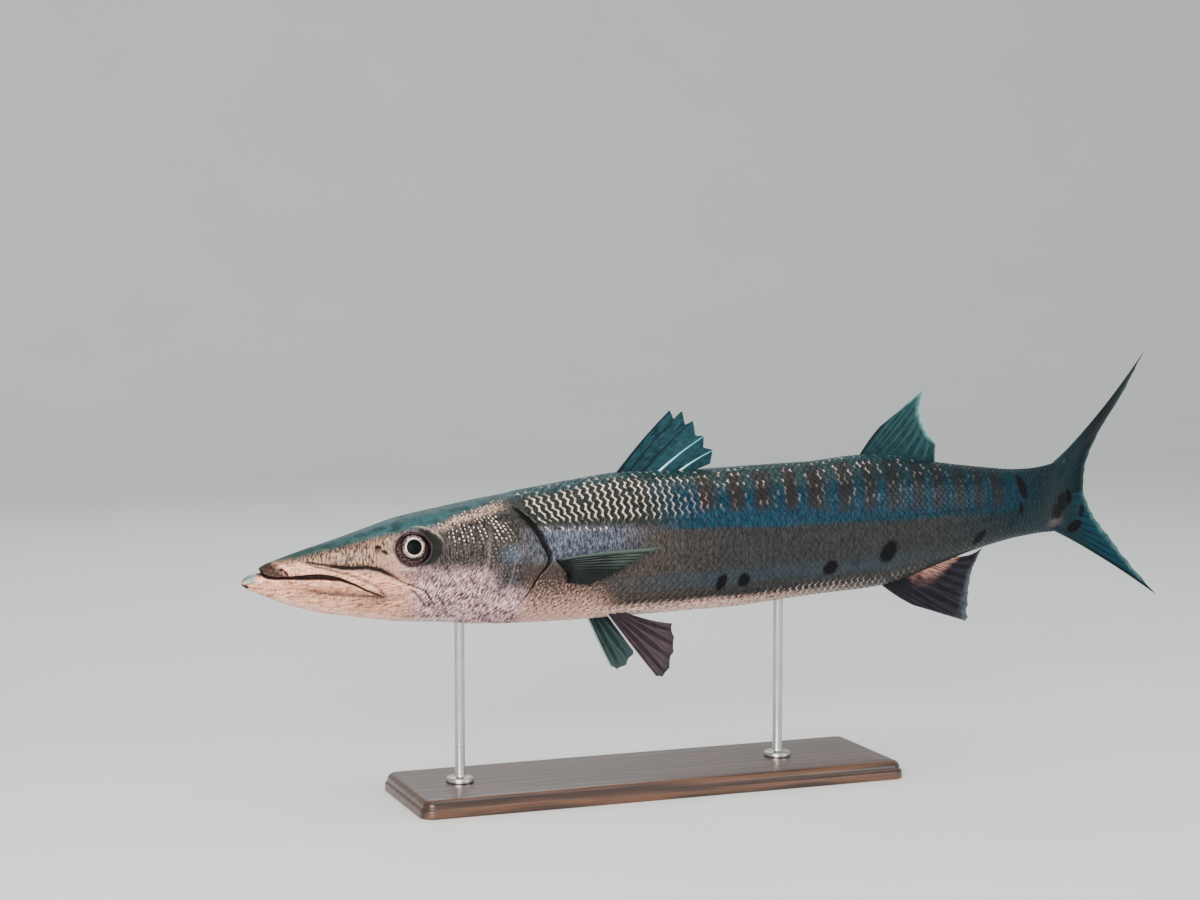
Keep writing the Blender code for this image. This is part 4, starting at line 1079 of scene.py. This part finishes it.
def eye_finish():
    """A mottled iris with a pale ring round the black pupil, and a dark edge."""
    f = Finish("eye", IOR=1.18)
    spot = f.attribute("disc")
    right, up, _ = f.split(spot)
    from_pupil = oval(right, up, PUPIL_AT, (1, 1)).root()
    from_rim = oval(right, up, (0, 0), EYE_HALF).root()
    flecks = f.noise(spot, (0.5, 0.5, 0.5), 4, 0.6)
    spokes = f.noise(spot, (0.16, 0.42, 0.4), 3, 0.6)
    shadow = (up.step(-3, -11) * 0.5 + from_pupil.step(9.8, 12.0) * 0.8).capped()
    flecked = f.mix(flecks.step(0.38, 0.66), srgb(32, 23, 27), srgb(116, 92, 86))
    ring = f.mix(from_pupil.step(11.8, 15.2), srgb(12, 8, 11), flecked)
    pale_ring = from_pupil.near(8.3, 1.5) * (flecks * 1.8 + spokes * 0.8).step(0.8, 1.5)
    pale_ring = (pale_ring + from_pupil.near(8.0, 0.7) * 0.3).capped()
    pupil = from_pupil.step(7.9, 7.4)
    colour = f.coats(
        f.mix((flecks + spokes - 0.5).step(0.3, 0.7), srgb(62, 44, 40), srgb(186, 158, 148)),
        (shadow, srgb(36, 26, 30)),
        (from_pupil.step(10.8, 12.2), ring),
        (from_rim.step(0.93, 0.99), srgb(18, 12, 16)),
        (pale_ring, srgb(240, 216, 206)),
        (pupil, srgb(1, 2, 3)),
    )
    f.set(Base_Color=colour, Roughness=0.2 + pupil * 0.3, Coat_Weight=0.1 - pupil * 0.1, Coat_Roughness=0.06)
    f.set(Metallic=from_pupil.within(7.5, 11.3, 0.5) * 0.35)
    return f.material


def wood_finish():
    f = Finish("stand_wood", Coat_Weight=0.3, Coat_Roughness=0.2)
    spot = f.wire("ShaderNodeTexCoord", "Object")
    warp = f.noise(spot, (5, 40, 40))
    _, y, z = f.split(spot)
    rings = ((y + z * 0.6 + warp * 0.03) * 420).math("SINE")
    fibre = f.noise(spot, (18, 900, 900), 3, 0.6)
    tone = (rings * 0.25 + fibre * 0.9 + warp * 0.4 - 0.15).step(0.1, 1.0)
    browns = [(0.0, srgb(38, 22, 14)), (0.5, srgb(66, 40, 25)), (1.0, srgb(98, 62, 40))]
    f.set(Base_Color=f.ramp(tone, browns))
    f.set(Roughness=fibre * 0.15 + 0.28, Normal=f.bump(fibre, 0.25, 0.0004))
    return f.material


def steel_finish():
    f = Finish("stand_steel", Metallic=1.0, Anisotropic=0.5)
    spot = f.wire("ShaderNodeTexCoord", "Object")
    lines = f.noise(spot, (60, 60, 2600), 3, 0.6)
    cloud = f.noise(spot, (40, 40, 40))
    f.set(Base_Color=f.mix(cloud, srgb(168, 166, 162), srgb(206, 204, 200)))
    f.set(Roughness=lines * 0.16 + 0.2, Normal=f.bump(lines, 0.12, 0.0003))
    return f.material


def floor_finish():
    f = Finish("floor_paper", Roughness=0.9)
    speck = f.noise(f.wire("ShaderNodeTexCoord", "Object"), (3, 3, 3))
    f.set(Base_Color=f.mix(speck, srgb(226, 226, 224), srgb(234, 234, 232)))
    return f.material


# Skin, scales and eyes


def skin_grid():
    """Left half of the skin, in the fish's frame, with its relief."""
    turns = np.array([turns_at(s) for s in STATIONS])
    stations = np.repeat(STATIONS[:, None], AROUND + 1, axis=1)
    plain = flank(stations, turns)
    normal = unit(np.cross(np.gradient(plain, axis=0), np.gradient(plain, axis=1)))
    normal *= np.where(normal[:, AROUND // 2, 1] > 0, -1, 1)[:, None, None]
    normal[:, [0, -1], 1] = 0
    x, z = plain[..., 0], plain[..., 2]
    on_head = 1 - rise_between(stations, 236, 250)
    relief = face_relief(x, z) * on_head + mouth_relief(x, z) + gill_relief(stations, z)
    relief -= COAT_DEPTH * rise_between(stations, 215, 252) + 0.1
    skin = plain + normal * relief[..., None]
    skin[:, [0, -1], 1] = 0
    skin[..., 1] = np.minimum(skin[..., 1], 0)
    return skin, table_lookup(TABLE_ARC, stations, turns), painted_light_marks(stations, x, z)


def make_skin(finish):
    """One closed skin from the nose to the root of the tail fin; the right half mirrors the left."""
    left, arc, marks = skin_grid()
    ring = np.concatenate([left, left[:, -2:0:-1] * (1, -1, 1)], axis=1)
    rows, columns = ring.shape[:2]
    marks = np.concatenate([marks, marks[:, -2:0:-1]], axis=1).reshape(-1, 3)
    marks = np.concatenate([marks, np.zeros((2, 3))])
    nose, tail = ring[0].mean(axis=0) - (0.25, 0, 0), ring[-1].mean(axis=0)
    points = np.concatenate([ring.reshape(-1, 3), [nose, tail]])
    faces = tube_faces(rows, columns)

    # The unwrap runs round from the back; faces that cross its seam reach past its end
    v = np.concatenate([arc / 2, 1 - arc[:, -2:0:-1] / 2], axis=1)
    u = np.repeat(bake_u(STATIONS)[:, None], columns, axis=1)
    uv = np.concatenate([np.stack([u, v], axis=-1).reshape(-1, 2), [[0.002, 0.5], [0.998, 0.5]]])
    per_loop = uv[np.concatenate([f.reshape(-1) for f in faces])]
    last_column = np.arange(columns) == columns - 1
    wraps = np.concatenate([
        np.repeat(faces[0][:, 0] % columns == columns - 1, 4), np.repeat(last_column, 3),
        np.repeat(last_column, 3),
    ])
    per_loop[wraps & (per_loop[:, 1] < 0.25), 1] += 1.0
    per_loop[:, 1] = np.clip(per_loop[:, 1], 0, 1)
    vectors = {
        "fish": points, "levels": level_marks(points), "scale": np.zeros_like(points), "marks": marks,
    }
    return mesh_piece("barracuda_skin", place(points), faces, finish, vectors, per_loop)


def scale_plates(name, plates, finish, lift, columns=7, rows=5):
    """Overlapping plates joined in one mesh, each a closed rounded plate that follows the skin.

    plates holds a row for each plate: station and arc of its root, length, width, side of the
    fish, a number of its own from 0 to 1, and its tilt.
    """
    stations, arcs, lengths, widths, sides, own, tilts = plates.T
    count, size = len(stations), rows * columns

    # Shape that all plates share: rounded behind, narrower at the root, slightly domed
    across, along = np.meshgrid(np.linspace(-1, 1, columns), np.linspace(0, 1, rows) ** 0.85)
    reach = along * (0.45 + 0.55 * np.sqrt(np.maximum(1 - 0.8 * across**2, 0)))
    spread = across * 0.5 * (0.85 + 0.15 * np.sin(np.pi * np.minimum(along + 0.2, 1)))
    rise = lift[0] + (lift[1] - lift[0]) * along**1.2 + 0.12 * (1 - across**2) * along

    def each(values):
        return values[:, None, None]

    station = np.minimum(each(stations) + reach * each(lengths), TABLE_STATIONS[-1] - 1)
    arc = each(arcs) + spread * each(widths / girth_at(stations))
    mirrored = np.where(arc < 0, -arc, np.where(arc > 1, 2 - arc, arc))
    crossing = np.where((arc < 0) | (arc > 1), -1.0, 1.0)
    rise = rise[None] + each(tilts) * across * along
    sheets = [surface(station, mirrored, rise), surface(station, mirrored, rise - SCALE_THICK)]
    for sheet in sheets:
        sheet[..., 1] = -np.abs(sheet[..., 1]) * crossing * each(np.where(sides > 0, -1.0, 1.0))
    points = np.concatenate([s.reshape(count, size, 3) for s in sheets], axis=1).reshape(-1, 3)
    plate = sheet_faces(rows, columns)
    starts = each(np.arange(count) * 2 * size)
    faces = [
        (plate[None] + starts[sides < 0]).reshape(-1, 4),
        (plate[:, ::-1][None] + starts[sides > 0]).reshape(-1, 4),
    ]

    def on_both(values):
        return np.tile(values.reshape(-1), 2)

    shape = (count, 2 * size)
    marks = np.stack([
        np.broadcast_to(on_both(along), shape), np.broadcast_to(on_both(across * 0.5), shape),
        np.broadcast_to(own[:, None], shape),
    ], axis=-1)
    patch = (np.stack([on_both(reach), on_both(spread)], axis=-1)[None] - (0.5, 0)) * BAKE_PATCH
    root_v = np.where(sides < 0, arcs / 2, 1 - arcs / 2)
    uv = np.stack([bake_u(stations), root_v], axis=-1)[:, None, :] + patch
    own_stations = np.tile(station.reshape(count, size), 2).reshape(-1)
    vectors = {
        "fish": points, "levels": level_marks(points), "scale": marks.reshape(-1, 3),
        "marks": painted_light_marks(own_stations, points[:, 0], points[:, 2]),
    }
    return mesh_piece(name, place(points), faces, finish, vectors, np.clip(uv.reshape(-1, 2), 0, 1))


def scale_columns():
    """Stations of the columns of scales, closer towards the tail."""
    stations, s = [], SCALE_FIRST
    while s < SCALE_LAST:
        stations.append(s)
        share = (s - SCALE_FIRST) / (SCALE_LAST - SCALE_FIRST)
        s += SCALE_PITCH_FRONT + (SCALE_PITCH_TAIL - SCALE_PITCH_FRONT) * share
    return stations


def flank_point(station, arc):
    """x and z of one point of the plain flank."""
    x, _, z = flank_by_arc(np.array([station]), np.array([arc]))[0]
    return float(x), float(z)


def make_body_scales(finish):
    """Rows that run from the gill to the tail, each second row set back by a part of a scale."""
    draw = random.Random(21)
    zones = {}
    columns = scale_columns()
    for side, word in SIDES:
        for c, s in enumerate(columns):
            width = float(girth_at(s)) / SCALE_ROWS * SCALE_WIDTH
            pitch = columns[min(c + 1, len(columns) - 1)] - columns[min(c, len(columns) - 2)]
            for r in range(SCALE_ROWS):
                arc = (r + 0.5) / SCALE_ROWS
                root = s + ROW_STAGGER * pitch * (r % 2) + draw.uniform(-0.3, 0.3)
                _, height = flank_point(root, arc)
                clear = 251.0 + 0.9 * float(slit_at(height)) * (height > -40)
                tail_end = 916 - 0.55 * abs(height - 2)
                if root < clear or root > tail_end:
                    continue
                zone = ("upper", "middle", "lower")[min(int(r / SCALE_ROWS * 3), 2)]
                zones.setdefault(f"scales_{word}_{zone}", []).append((
                    root, arc, pitch * SCALE_LENGTH * draw.uniform(0.97, 1.03), width, side,
                    0.5 * (r % 2) + 0.496 * draw.random() + 0.002, draw.uniform(-0.09, 0.09),
                ))
    return [scale_plates(name, np.array(rows), finish, SCALE_LIFT) for name, rows in zones.items()]


def make_head_scales(finish):
    """Small scales on the cheek, the gill cover and the nape."""
    draw = random.Random(22)
    plates = []
    for side, _ in SIDES:
        for c, s in enumerate(np.arange(HEAD_FIRST, HEAD_LAST, HEAD_PITCH)):
            girth = float(girth_at(s))
            count = int(girth / HEAD_ROW)
            for r in range(count):
                arc = (r + 0.5 * (c % 2)) / count
                x, z = flank_point(s, arc)
                on_lid = oval(x, z, LID_AT, LID_HALF) < 1.2**2
                if on_lid or z < -54 or z > float(teal_at(x)) + 1.5 or (s > 243 and z > -60):
                    continue
                plates.append((
                    s + draw.uniform(-0.3, 0.3), arc, HEAD_LENGTH * draw.uniform(0.9, 1.1),
                    girth / count * HEAD_WIDTH, side, draw.random(), draw.uniform(-0.06, 0.06),
                ))
    return scale_plates("scales_head", np.array(plates), finish, HEAD_LIFT, 5, 4)


def eye_axes(side):
    """The eye's own right, up and outward directions."""
    step = 2.0
    x, z = EYE_AT
    slope_x = (half_width(x + step, z) - half_width(x - step, z)) / (2 * step)
    slope_z = (half_width(x, z + step) - half_width(x, z - step)) / (2 * step)
    face = unit(np.array((-slope_x, side, -slope_z), float))
    out = unit(0.6 * face + 0.4 * np.array((0, side, 0)))
    up = unit(np.array((0, 0, 1.0)) - out * out[2])
    return np.cross(up, out), up, out


def make_eye(name, side, finish):
    """A glass-bright ball with the pupil sunk in a raised ring of iris."""
    rows, columns = EYE_GRID
    right, up, out = eye_axes(side)
    centre = np.array((EYE_X, side * half_width(*EYE_AT), EYE_Z)) - out * EYE_SUNK
    polar = np.pi * (np.linspace(0, 1, rows + 1) ** 1.15)[1:-1, None]
    turn = np.linspace(0, 2 * np.pi, columns, endpoint=False)[None, :]
    across = EYE_HALF[0] * np.sin(polar) * np.cos(turn)
    above = EYE_HALF[1] * np.sin(polar) * np.sin(turn)
    from_pupil = np.hypot(across - PUPIL_AT[0], above - PUPIL_AT[1])
    sunk = PUPIL_DEPTH * (1 - rise_between(from_pupil, *PUPIL_EDGE))
    sunk -= IRIS_RISE * np.exp(-(((from_pupil - 8.4) / 1.4) ** 2))
    depth = EYE_HALF[2] * np.cos(polar) - sunk * (polar < np.pi / 2)
    local = np.stack([across, above, depth], axis=-1).reshape(-1, 3)
    ball = centre + local @ np.stack([right, up, out])
    poles = [centre + out * (EYE_HALF[2] - PUPIL_DEPTH), centre - out * EYE_HALF[2]]
    disc = np.concatenate([local, [(0, 0, 0), (20, 0, 0)]])
    faces = [f[:, ::-1] for f in tube_faces(rows - 1, columns)]
    return mesh_piece(name, place(np.concatenate([ball, poles])), faces, finish, {"disc": disc})


# Fins


def bezier(a, b, c, t):
    return (1 - t) ** 2 * a + 2 * t * (1 - t) * b + t * t * c


def fin_surface(outline, lateral=None, sink=ROOT_SINK, shifts=None):
    """Points of a fin by share across it and share along its rays."""
    shares = np.linspace(0, 1, len(outline["root"]))
    curves = {
        part: [smooth_line([(s, q[axis]) for s, q in zip(shares, outline[part])]) for axis in (0, 1)]
        for part in FIN_PARTS
    }

    def at(across, along):
        spots = []
        for part in FIN_PARTS:
            x, z = curves[part][0](across), curves[part][1](across)
            y = lateral(part, across, x, z) if lateral else 0
            spots.append(np.stack([x, y + 0 * x, z], axis=-1))
        root, mid, tip = spots
        mid = mid + (0 if shifts is None else shifts)
        root = root + unit(root - mid) * sink
        return bezier(root, mid, tip, along[..., None])

    return at


def ray_mask(across, along, count):
    """1 on a ray and 0 on the membrane; each ray splits in two and then in four towards its tip."""
    by_ray = across * (count - 1)
    off = by_ray - np.clip(np.round(by_ray), 0, count - 1)
    first = RAY_SPREAD * rise_between(along, 0.34, 0.85)
    second = RAY_SPREAD * 0.5 * rise_between(along, 0.62, 1.0)
    mask = np.zeros_like(off)
    for a in (-1, 1):
        for b in (-1, 1):
            mask = np.maximum(mask, np.exp(-(((off - a * first - b * second) / RAY_WIDTH) ** 2)))
    return mask


def fin_piece(
    name, at, count, finish, thicknesses, rows=44, per_ray=12, notch=0.035, seed=1, extra=None,
    foot_share=0.14,
):
    """A closed sheet with branching rays raised on both faces and a slightly frayed edge.

    The half thicknesses are those of the foot, a ray, the membrane and the outer edge.
    """
    foot, ray, web, tip = thicknesses
    draw = random.Random(seed)
    columns = (count - 1) * per_ray + 1
    by_ray = np.linspace(0, 1, columns) * (count - 1)
    depth = np.array([draw.uniform(0.4, 1.0) for _ in range(count)])
    interval = np.minimum(by_ray.astype(int), count - 2)
    edge = 1 - notch * np.abs(np.sin(np.pi * by_ray)) * depth[interval]
    fray = np.array([draw.uniform(0, 0.006) for _ in range(columns)])
    across, along = np.meshgrid(np.linspace(0, 1, columns), np.linspace(0, 1, rows) ** 0.92, indexing="ij")
    middle = at(across, along * (edge - fray)[:, None])
    normal = unit(np.cross(np.gradient(middle, axis=0), np.gradient(middle, axis=1)))
    mask = ray_mask(across, along, count)
    lead = np.exp(-((across * (count - 1) / 0.35) ** 2))
    thick = web + (ray - web) * mask + 0.35 * ray * lead
    thick = thick + (tip - thick) * np.maximum(along - 0.25, 0) / 0.75
    thick = thick + (foot - thick) * (1 - ease(along / foot_share))
    faces = [sheet_faces(columns, rows)]
    points = np.concatenate([(middle + normal * s * thick[..., None]).reshape(-1, 3) for s in (-1, 1)])
    marks = np.tile(np.stack([across, along, mask], axis=-1).reshape(-1, 3), (2, 1))
    if extra is not None:
        more_points, more_faces, more_marks = extra
        faces.append(more_faces + len(points))
        points, marks = np.concatenate([points, more_points]), np.concatenate([marks, more_marks])
    return mesh_piece(name, place(points), faces, finish, {"fish": points, "fin": marks}, flat_above=60)


def rod(path, radii):
    """A tapered round rod along a path, its ends closed: points, quads and shares along it."""
    points, count, sides = [], len(path), SPINE_SIDES
    for i in range(count):
        ahead = unit(path[min(i + 1, count - 1)] - path[max(i - 1, 0)])
        side = unit(np.cross(ahead, (0, 1.0, 0)))
        lift = np.cross(ahead, side)

        for j in range(sides):
            turn = 2 * math.pi * j / sides
            points.append(path[i] + radii[i] * (math.cos(turn) * side + math.sin(turn) * lift))
    quads = grid_faces(count, sides, closed=True)
    half = np.arange(sides // 2 - 1)
    strip = np.stack([half, half + 1, sides - 2 - half, sides - 1 - half], axis=-1)
    quads = np.concatenate([quads, strip[:, ::-1], strip + (count - 1) * sides])
    return np.array(points), quads, np.linspace(0, 1, count).repeat(sides)


def on_midplane(point):
    return np.array((point[0], 0.0, point[1]))


def bowed(foot, tip, bow):
    """Foot, middle and tip of a spine or of a strip of membrane that bows out at its middle."""
    return foot, (foot + tip) / 2 + on_midplane(bow), tip


def make_first_dorsal(finish):
    """Five stout spines with a membrane that dips between them."""
    feet = [on_midplane(foot) + on_midplane(SPINE_SINK) for foot, _ in SPINES]
    tips = [on_midplane(tip) for _, tip in SPINES]
    keys = []
    for i, (foot, tip) in enumerate(zip(feet, tips)):
        keys.append(bowed(foot, tip, SPINE_BOW))
        if i + 1 < len(feet):
            keys.append(bowed((foot + feet[i + 1]) / 2, on_midplane(SPINE_NOTCHES[i]), MEMBRANE_BOW))
    keys.append(bowed(on_midplane(SAIL_END_FOOT), on_midplane(SAIL_END_TIP), (0.0, 0.0)))
    keys = np.array(keys)
    places = np.linspace(0, 1, len(keys))
    curves = [[smooth_line(list(zip(places, keys[:, part, axis]))) for axis in (0, 2)] for part in range(3)]

    def at(across, along):
        spots = [np.stack([c[0](across), 0 * across, c[1](across)], axis=-1) for c in curves]
        return bezier(*spots, along[..., None])

    points, quads, marks = [], [], []
    for i in range(len(SPINES)):
        t = np.linspace(0, 0.995, 16)[:, None]
        radii = np.interp(t[:, 0], [0, 0.2, 1], [1.8, 1.3, 0.35]) * (1.1 if i == 0 else 0.9)
        spine, faces, share = rod(bezier(*keys[2 * i], t), radii)
        quads.append(faces + sum(len(p) for p in points))
        points.append(spine)
        place_across = np.full(len(spine), 2 * i / (len(keys) - 1))
        marks.append(np.stack([place_across, share, np.full(len(spine), 2.0 + i)], axis=-1))
    extra = tuple(np.concatenate(rows) for rows in (points, quads, marks))
    thick, count = (1.5, 0.34, 0.28, 0.22), len(keys)
    return fin_piece("first_dorsal_fin_skin", at, count, finish, thick, notch=0.0, extra=extra, per_ray=10)


def spiny_finish():
    """Slate membrane with fine streaks; the fourth and fifth spines are pale, the first ones dark."""
    f = Finish("first_dorsal", Roughness=0.42, IOR=1.16)
    marks = f.attribute("fin")
    across, along, on_ray = f.split(marks)
    shade = f.noise(f.attribute("fish"), (0.12, 0.12, 0.2), 4)
    streaks = f.noise(marks, (70, 5, 0), 3, 0.6)
    pale = f.mix(along.step(0.0, 0.7), srgb(206, 240, 238), srgb(120, 196, 206))
    f.set(Base_Color=f.coats(
        f.mix((streaks * 0.7 + shade * 0.5).step(0.35, 0.8), srgb(4, 18, 24), srgb(34, 66, 74)),
        (across.within(0.5, 0.75, 0.12) * 0.3, srgb(44, 80, 88)),
        (on_ray.step(1.2, 1.6), f.mix(on_ray.step(4.2, 4.8), srgb(20, 32, 38), pale)),
    ))
    f.set(Normal=f.bump(streaks, 0.3, 0.0006))
    return f.material


def tail_lag(amount):
    """The middle rays of the tail fin hang back to the fish's right."""
    shares = dict(zip(FIN_PARTS, (0.0, 0.3, 1.0)))
    return lambda part, across, x, z: amount * shares[part] * np.sin(math.pi * across)


def on_side(side, outs, past_flank=False):
    """A paired fin stands out from the midplane, or past the flank."""
    out = dict(zip(FIN_PARTS, outs))
    return lambda part, across, x, z: side * ((half_width(x, z) if past_flank else 0) + out[part])


def make_fins():
    """Each fin, with the node that it replaces and its slot."""
    flesh = srgb(20, 38, 43)
    looks = {
        "second_dorsal": fin_finish(
            "second_dorsal", srgb(22, 46, 50), srgb(52, 84, 86), srgb(110, 166, 164), srgb(16, 32, 36),
        ),
        "anal": fin_finish(
            "anal", srgb(24, 22, 28), srgb(50, 46, 54), srgb(92, 104, 108), srgb(32, 28, 32),
            # with a painted pink sheen near the root of its rear rays
            base=srgb(240, 176, 156),
        ),
        "upper_tail": fin_finish(
            "caudal_upper", srgb(4, 13, 17), srgb(12, 25, 29), srgb(60, 88, 90), srgb(4, 10, 13),
            body=flesh,
        ),
        "lower_tail": fin_finish(
            "caudal_lower", srgb(5, 38, 47), srgb(18, 68, 80), srgb(96, 128, 124), srgb(6, 18, 22),
            body=flesh,
        ),
        "pectoral": fin_finish(
            "pectoral", srgb(12, 14, 15), srgb(36, 41, 40), srgb(24, 28, 28), srgb(76, 90, 82), 0.88,
            streaked=srgb(80, 92, 84),
        ),
        "left_pelvic": fin_finish(
            "pelvic", srgb(36, 29, 34), srgb(84, 70, 74), srgb(40, 36, 42), srgb(196, 186, 186), 0.95,
        ),
        "right_pelvic": fin_finish(
            "pelvic_far", srgb(28, 42, 44), srgb(72, 90, 88), srgb(58, 74, 74), srgb(150, 166, 160), 0.92,
        ),
    }
    pieces = [("first_dorsal_fin", "fin_dark", make_first_dorsal(spiny_finish()))]

    def add(node, slot, *shape, **settings):
        pieces.append((node, slot, fin_piece(node + "_skin", *shape, **settings)))

    soft = (1.8, 0.62, 0.26, 0.22)
    second, anal = fin_surface(SECOND_DORSAL), fin_surface(ANAL)
    add("second_dorsal_fin", "fin_dark", second, 10, looks["second_dorsal"], soft, seed=11)
    add("anal_fin", "fin_dark", anal, 10, looks["anal"], soft, seed=13)
    for word, outline, count in (("upper", CAUDAL_UPPER, 10), ("lower", CAUDAL_LOWER, 9)):
        at = fin_surface(outline, tail_lag(TAIL_LAG[word]), sink=14)
        thick = (3.0, 0.72, 0.3, 0.25)
        settings = {"foot_share": 0.26, "seed": 17, "rows": 64}
        add(f"caudal_fin_{word}", "fin_tail", at, count, looks[word + "_tail"], thick, **settings)
    for side, word in SIDES:
        cup = np.array((PECTORAL_CUP[0], side * PECTORAL_CUP[1], 0))
        at = fin_surface(PECTORAL, on_side(side, PECTORAL_OUT, True), 0.0, cup)
        thick = (1.7, 0.5, 0.24, 0.2)
        settings = {"per_ray": 9, "seed": 5, "notch": 0.05}
        add(f"pectoral_fin_{word}", "fin_pale", at, 13, looks["pectoral"], thick, **settings)
    for side, word in SIDES:
        at = fin_surface(PELVIC[word], on_side(side, PELVIC_OUT[word]))
        thick = (1.9, 0.65, 0.28, 0.22)
        settings = {"per_ray": 16, "seed": 7, "notch": 0.05}
        add(f"pelvic_fin_{word}", "fin_pale", at, 6, looks[word + "_pelvic"], thick, **settings)
    return pieces


# Stand


def stacked(name, rings, finish):
    """A closed solid from rings of points in millimetres, from its foot up."""
    rings = np.array(rings) * MM
    centres = [rings[0].mean(axis=0), rings[-1].mean(axis=0)]
    points = np.concatenate([rings.reshape(-1, 3), centres])
    return mesh_piece(name, points, tube_faces(*rings.shape[:2]), finish, flat_above=35)


def make_base(finish):
    """A board with rounded corners and a moulded rim."""
    length, width, _ = BASE_SIZE
    rings = []
    for inset, level in BOARD_RIM:
        corner = max(BASE_CORNER - inset, 2.0)
        ring = []
        for cx, cy, start in ((1, 1, 0), (-1, 1, 90), (-1, -1, 180), (1, -1, 270)):
            for step in range(13):
                turn = math.radians(start + 90 * step / 12)
                ring.append((
                    cx * (length / 2 - inset - corner) + corner * math.cos(turn),
                    cy * (width / 2 - inset - corner) + corner * math.sin(turn), level,
                ))
        rings.append(ring)
    return stacked("stand_board", rings, finish)


def make_rods(finish):
    """Two turned rods, each with the node that it replaces."""
    pieces = []
    turn = np.linspace(0, 2 * np.pi, ROD_SIDES, endpoint=False)
    for x, word in zip(ROD_X, ("front", "rear")):
        belly = place((x, 0.0, float(belly_at(x)))) / MM
        foot, top = BASE_SIZE[2] + GAP, belly[2] + ROD_DEPTH
        profile = [(radius, foot + height) for radius, height in ROD_FOOT]
        profile += [(ROD_RADIUS, (foot + top) / 2), (ROD_RADIUS, top - 0.6), (ROD_RADIUS - 0.6, top)]
        rings = [
            np.stack([belly[0] + r * np.cos(turn), belly[1] + r * np.sin(turn), h + 0 * turn], axis=-1)
            for r, h in profile
        ]
        pieces.append((f"stand_rod_{word}", stacked(f"stand_rod_{word}_turned", rings, finish)))
    return pieces


# Studio and camera


def add_object(name, data, at, turn):
    obj = bpy.data.objects.new(name, data)
    obj.location, obj.rotation_euler = at, turn
    bpy.context.scene.collection.objects.link(obj)
    return obj


def make_studio():
    """A pale sheet that runs over the floor and rises in a wide curve far behind, and soft lamps."""
    turns = np.linspace(0, math.pi / 2, 25)
    profile = [(-SWEEP_FRONT, 0.0)] + [
        (SWEEP_BACK + SWEEP_RADIUS * math.sin(t), SWEEP_RADIUS * (1 - math.cos(t))) for t in turns
    ] + [(SWEEP_BACK + SWEEP_RADIUS, SWEEP_HEIGHT)]
    points = np.array([(x, y, z) for x in (-SWEEP_WIDTH, SWEEP_WIDTH) for y, z in profile])
    floor = mesh_piece("floor", points, [grid_faces(2, len(profile))[:, ::-1]], floor_finish())
    world = bpy.data.worlds.new("studio")
    world.use_nodes = True
    light = world.node_tree.nodes["Background"].inputs
    light[0].default_value, light[1].default_value = WORLD_LIGHT, WORLD_POWER
    bpy.context.scene.world = world
    for name, at, size, power, colour in LAMPS:
        lamp = bpy.data.lights.new(name, "AREA")
        lamp.size, lamp.energy, lamp.color = size, power, colour
        aim = np.subtract(LAMP_AIM, at)
        pitch = math.atan2(math.hypot(aim[0], aim[1]), -aim[2])
        add_object(name, lamp, at, (pitch, 0, math.atan2(aim[1], aim[0]) - math.pi / 2))
    lens = bpy.data.cameras.new("camera")
    lens.lens, lens.sensor_width, lens.sensor_fit = LENS, SENSOR, "HORIZONTAL"
    lens.clip_end = 50.0
    bpy.context.scene.camera = add_object("camera", lens, CAMERA_AT, CAMERA_TURN)


def hand_over(piece, slot, *nodes):
    """Ties a piece to the root body, and hides the nodes that it stands in for."""
    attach(piece, "root")
    if nodes:
        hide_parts(*nodes)


def main():
    fish = fish_finish()
    hand_over(
        make_skin(fish), "skin_body", "head", "lower_jaw", "gill_cover_left", "gill_cover_right",
        "body_front", "body_rear", "tail_base",
    )
    for coat in make_body_scales(fish):
        hand_over(coat, "skin_body")
    hand_over(make_head_scales(fish), "skin_head")
    glass = eye_finish()
    for side, word in SIDES:
        hand_over(make_eye(f"eye_{word}_ball", side, glass), "eye", f"eye_{word}")
    for node, slot, fin in make_fins():
        hand_over(fin, slot, node)
    hand_over(make_base(wood_finish()), "stand_base", "stand_base")
    for node, piece in make_rods(steel_finish()):
        hand_over(piece, "stand_rod", node)
    make_studio()


main()
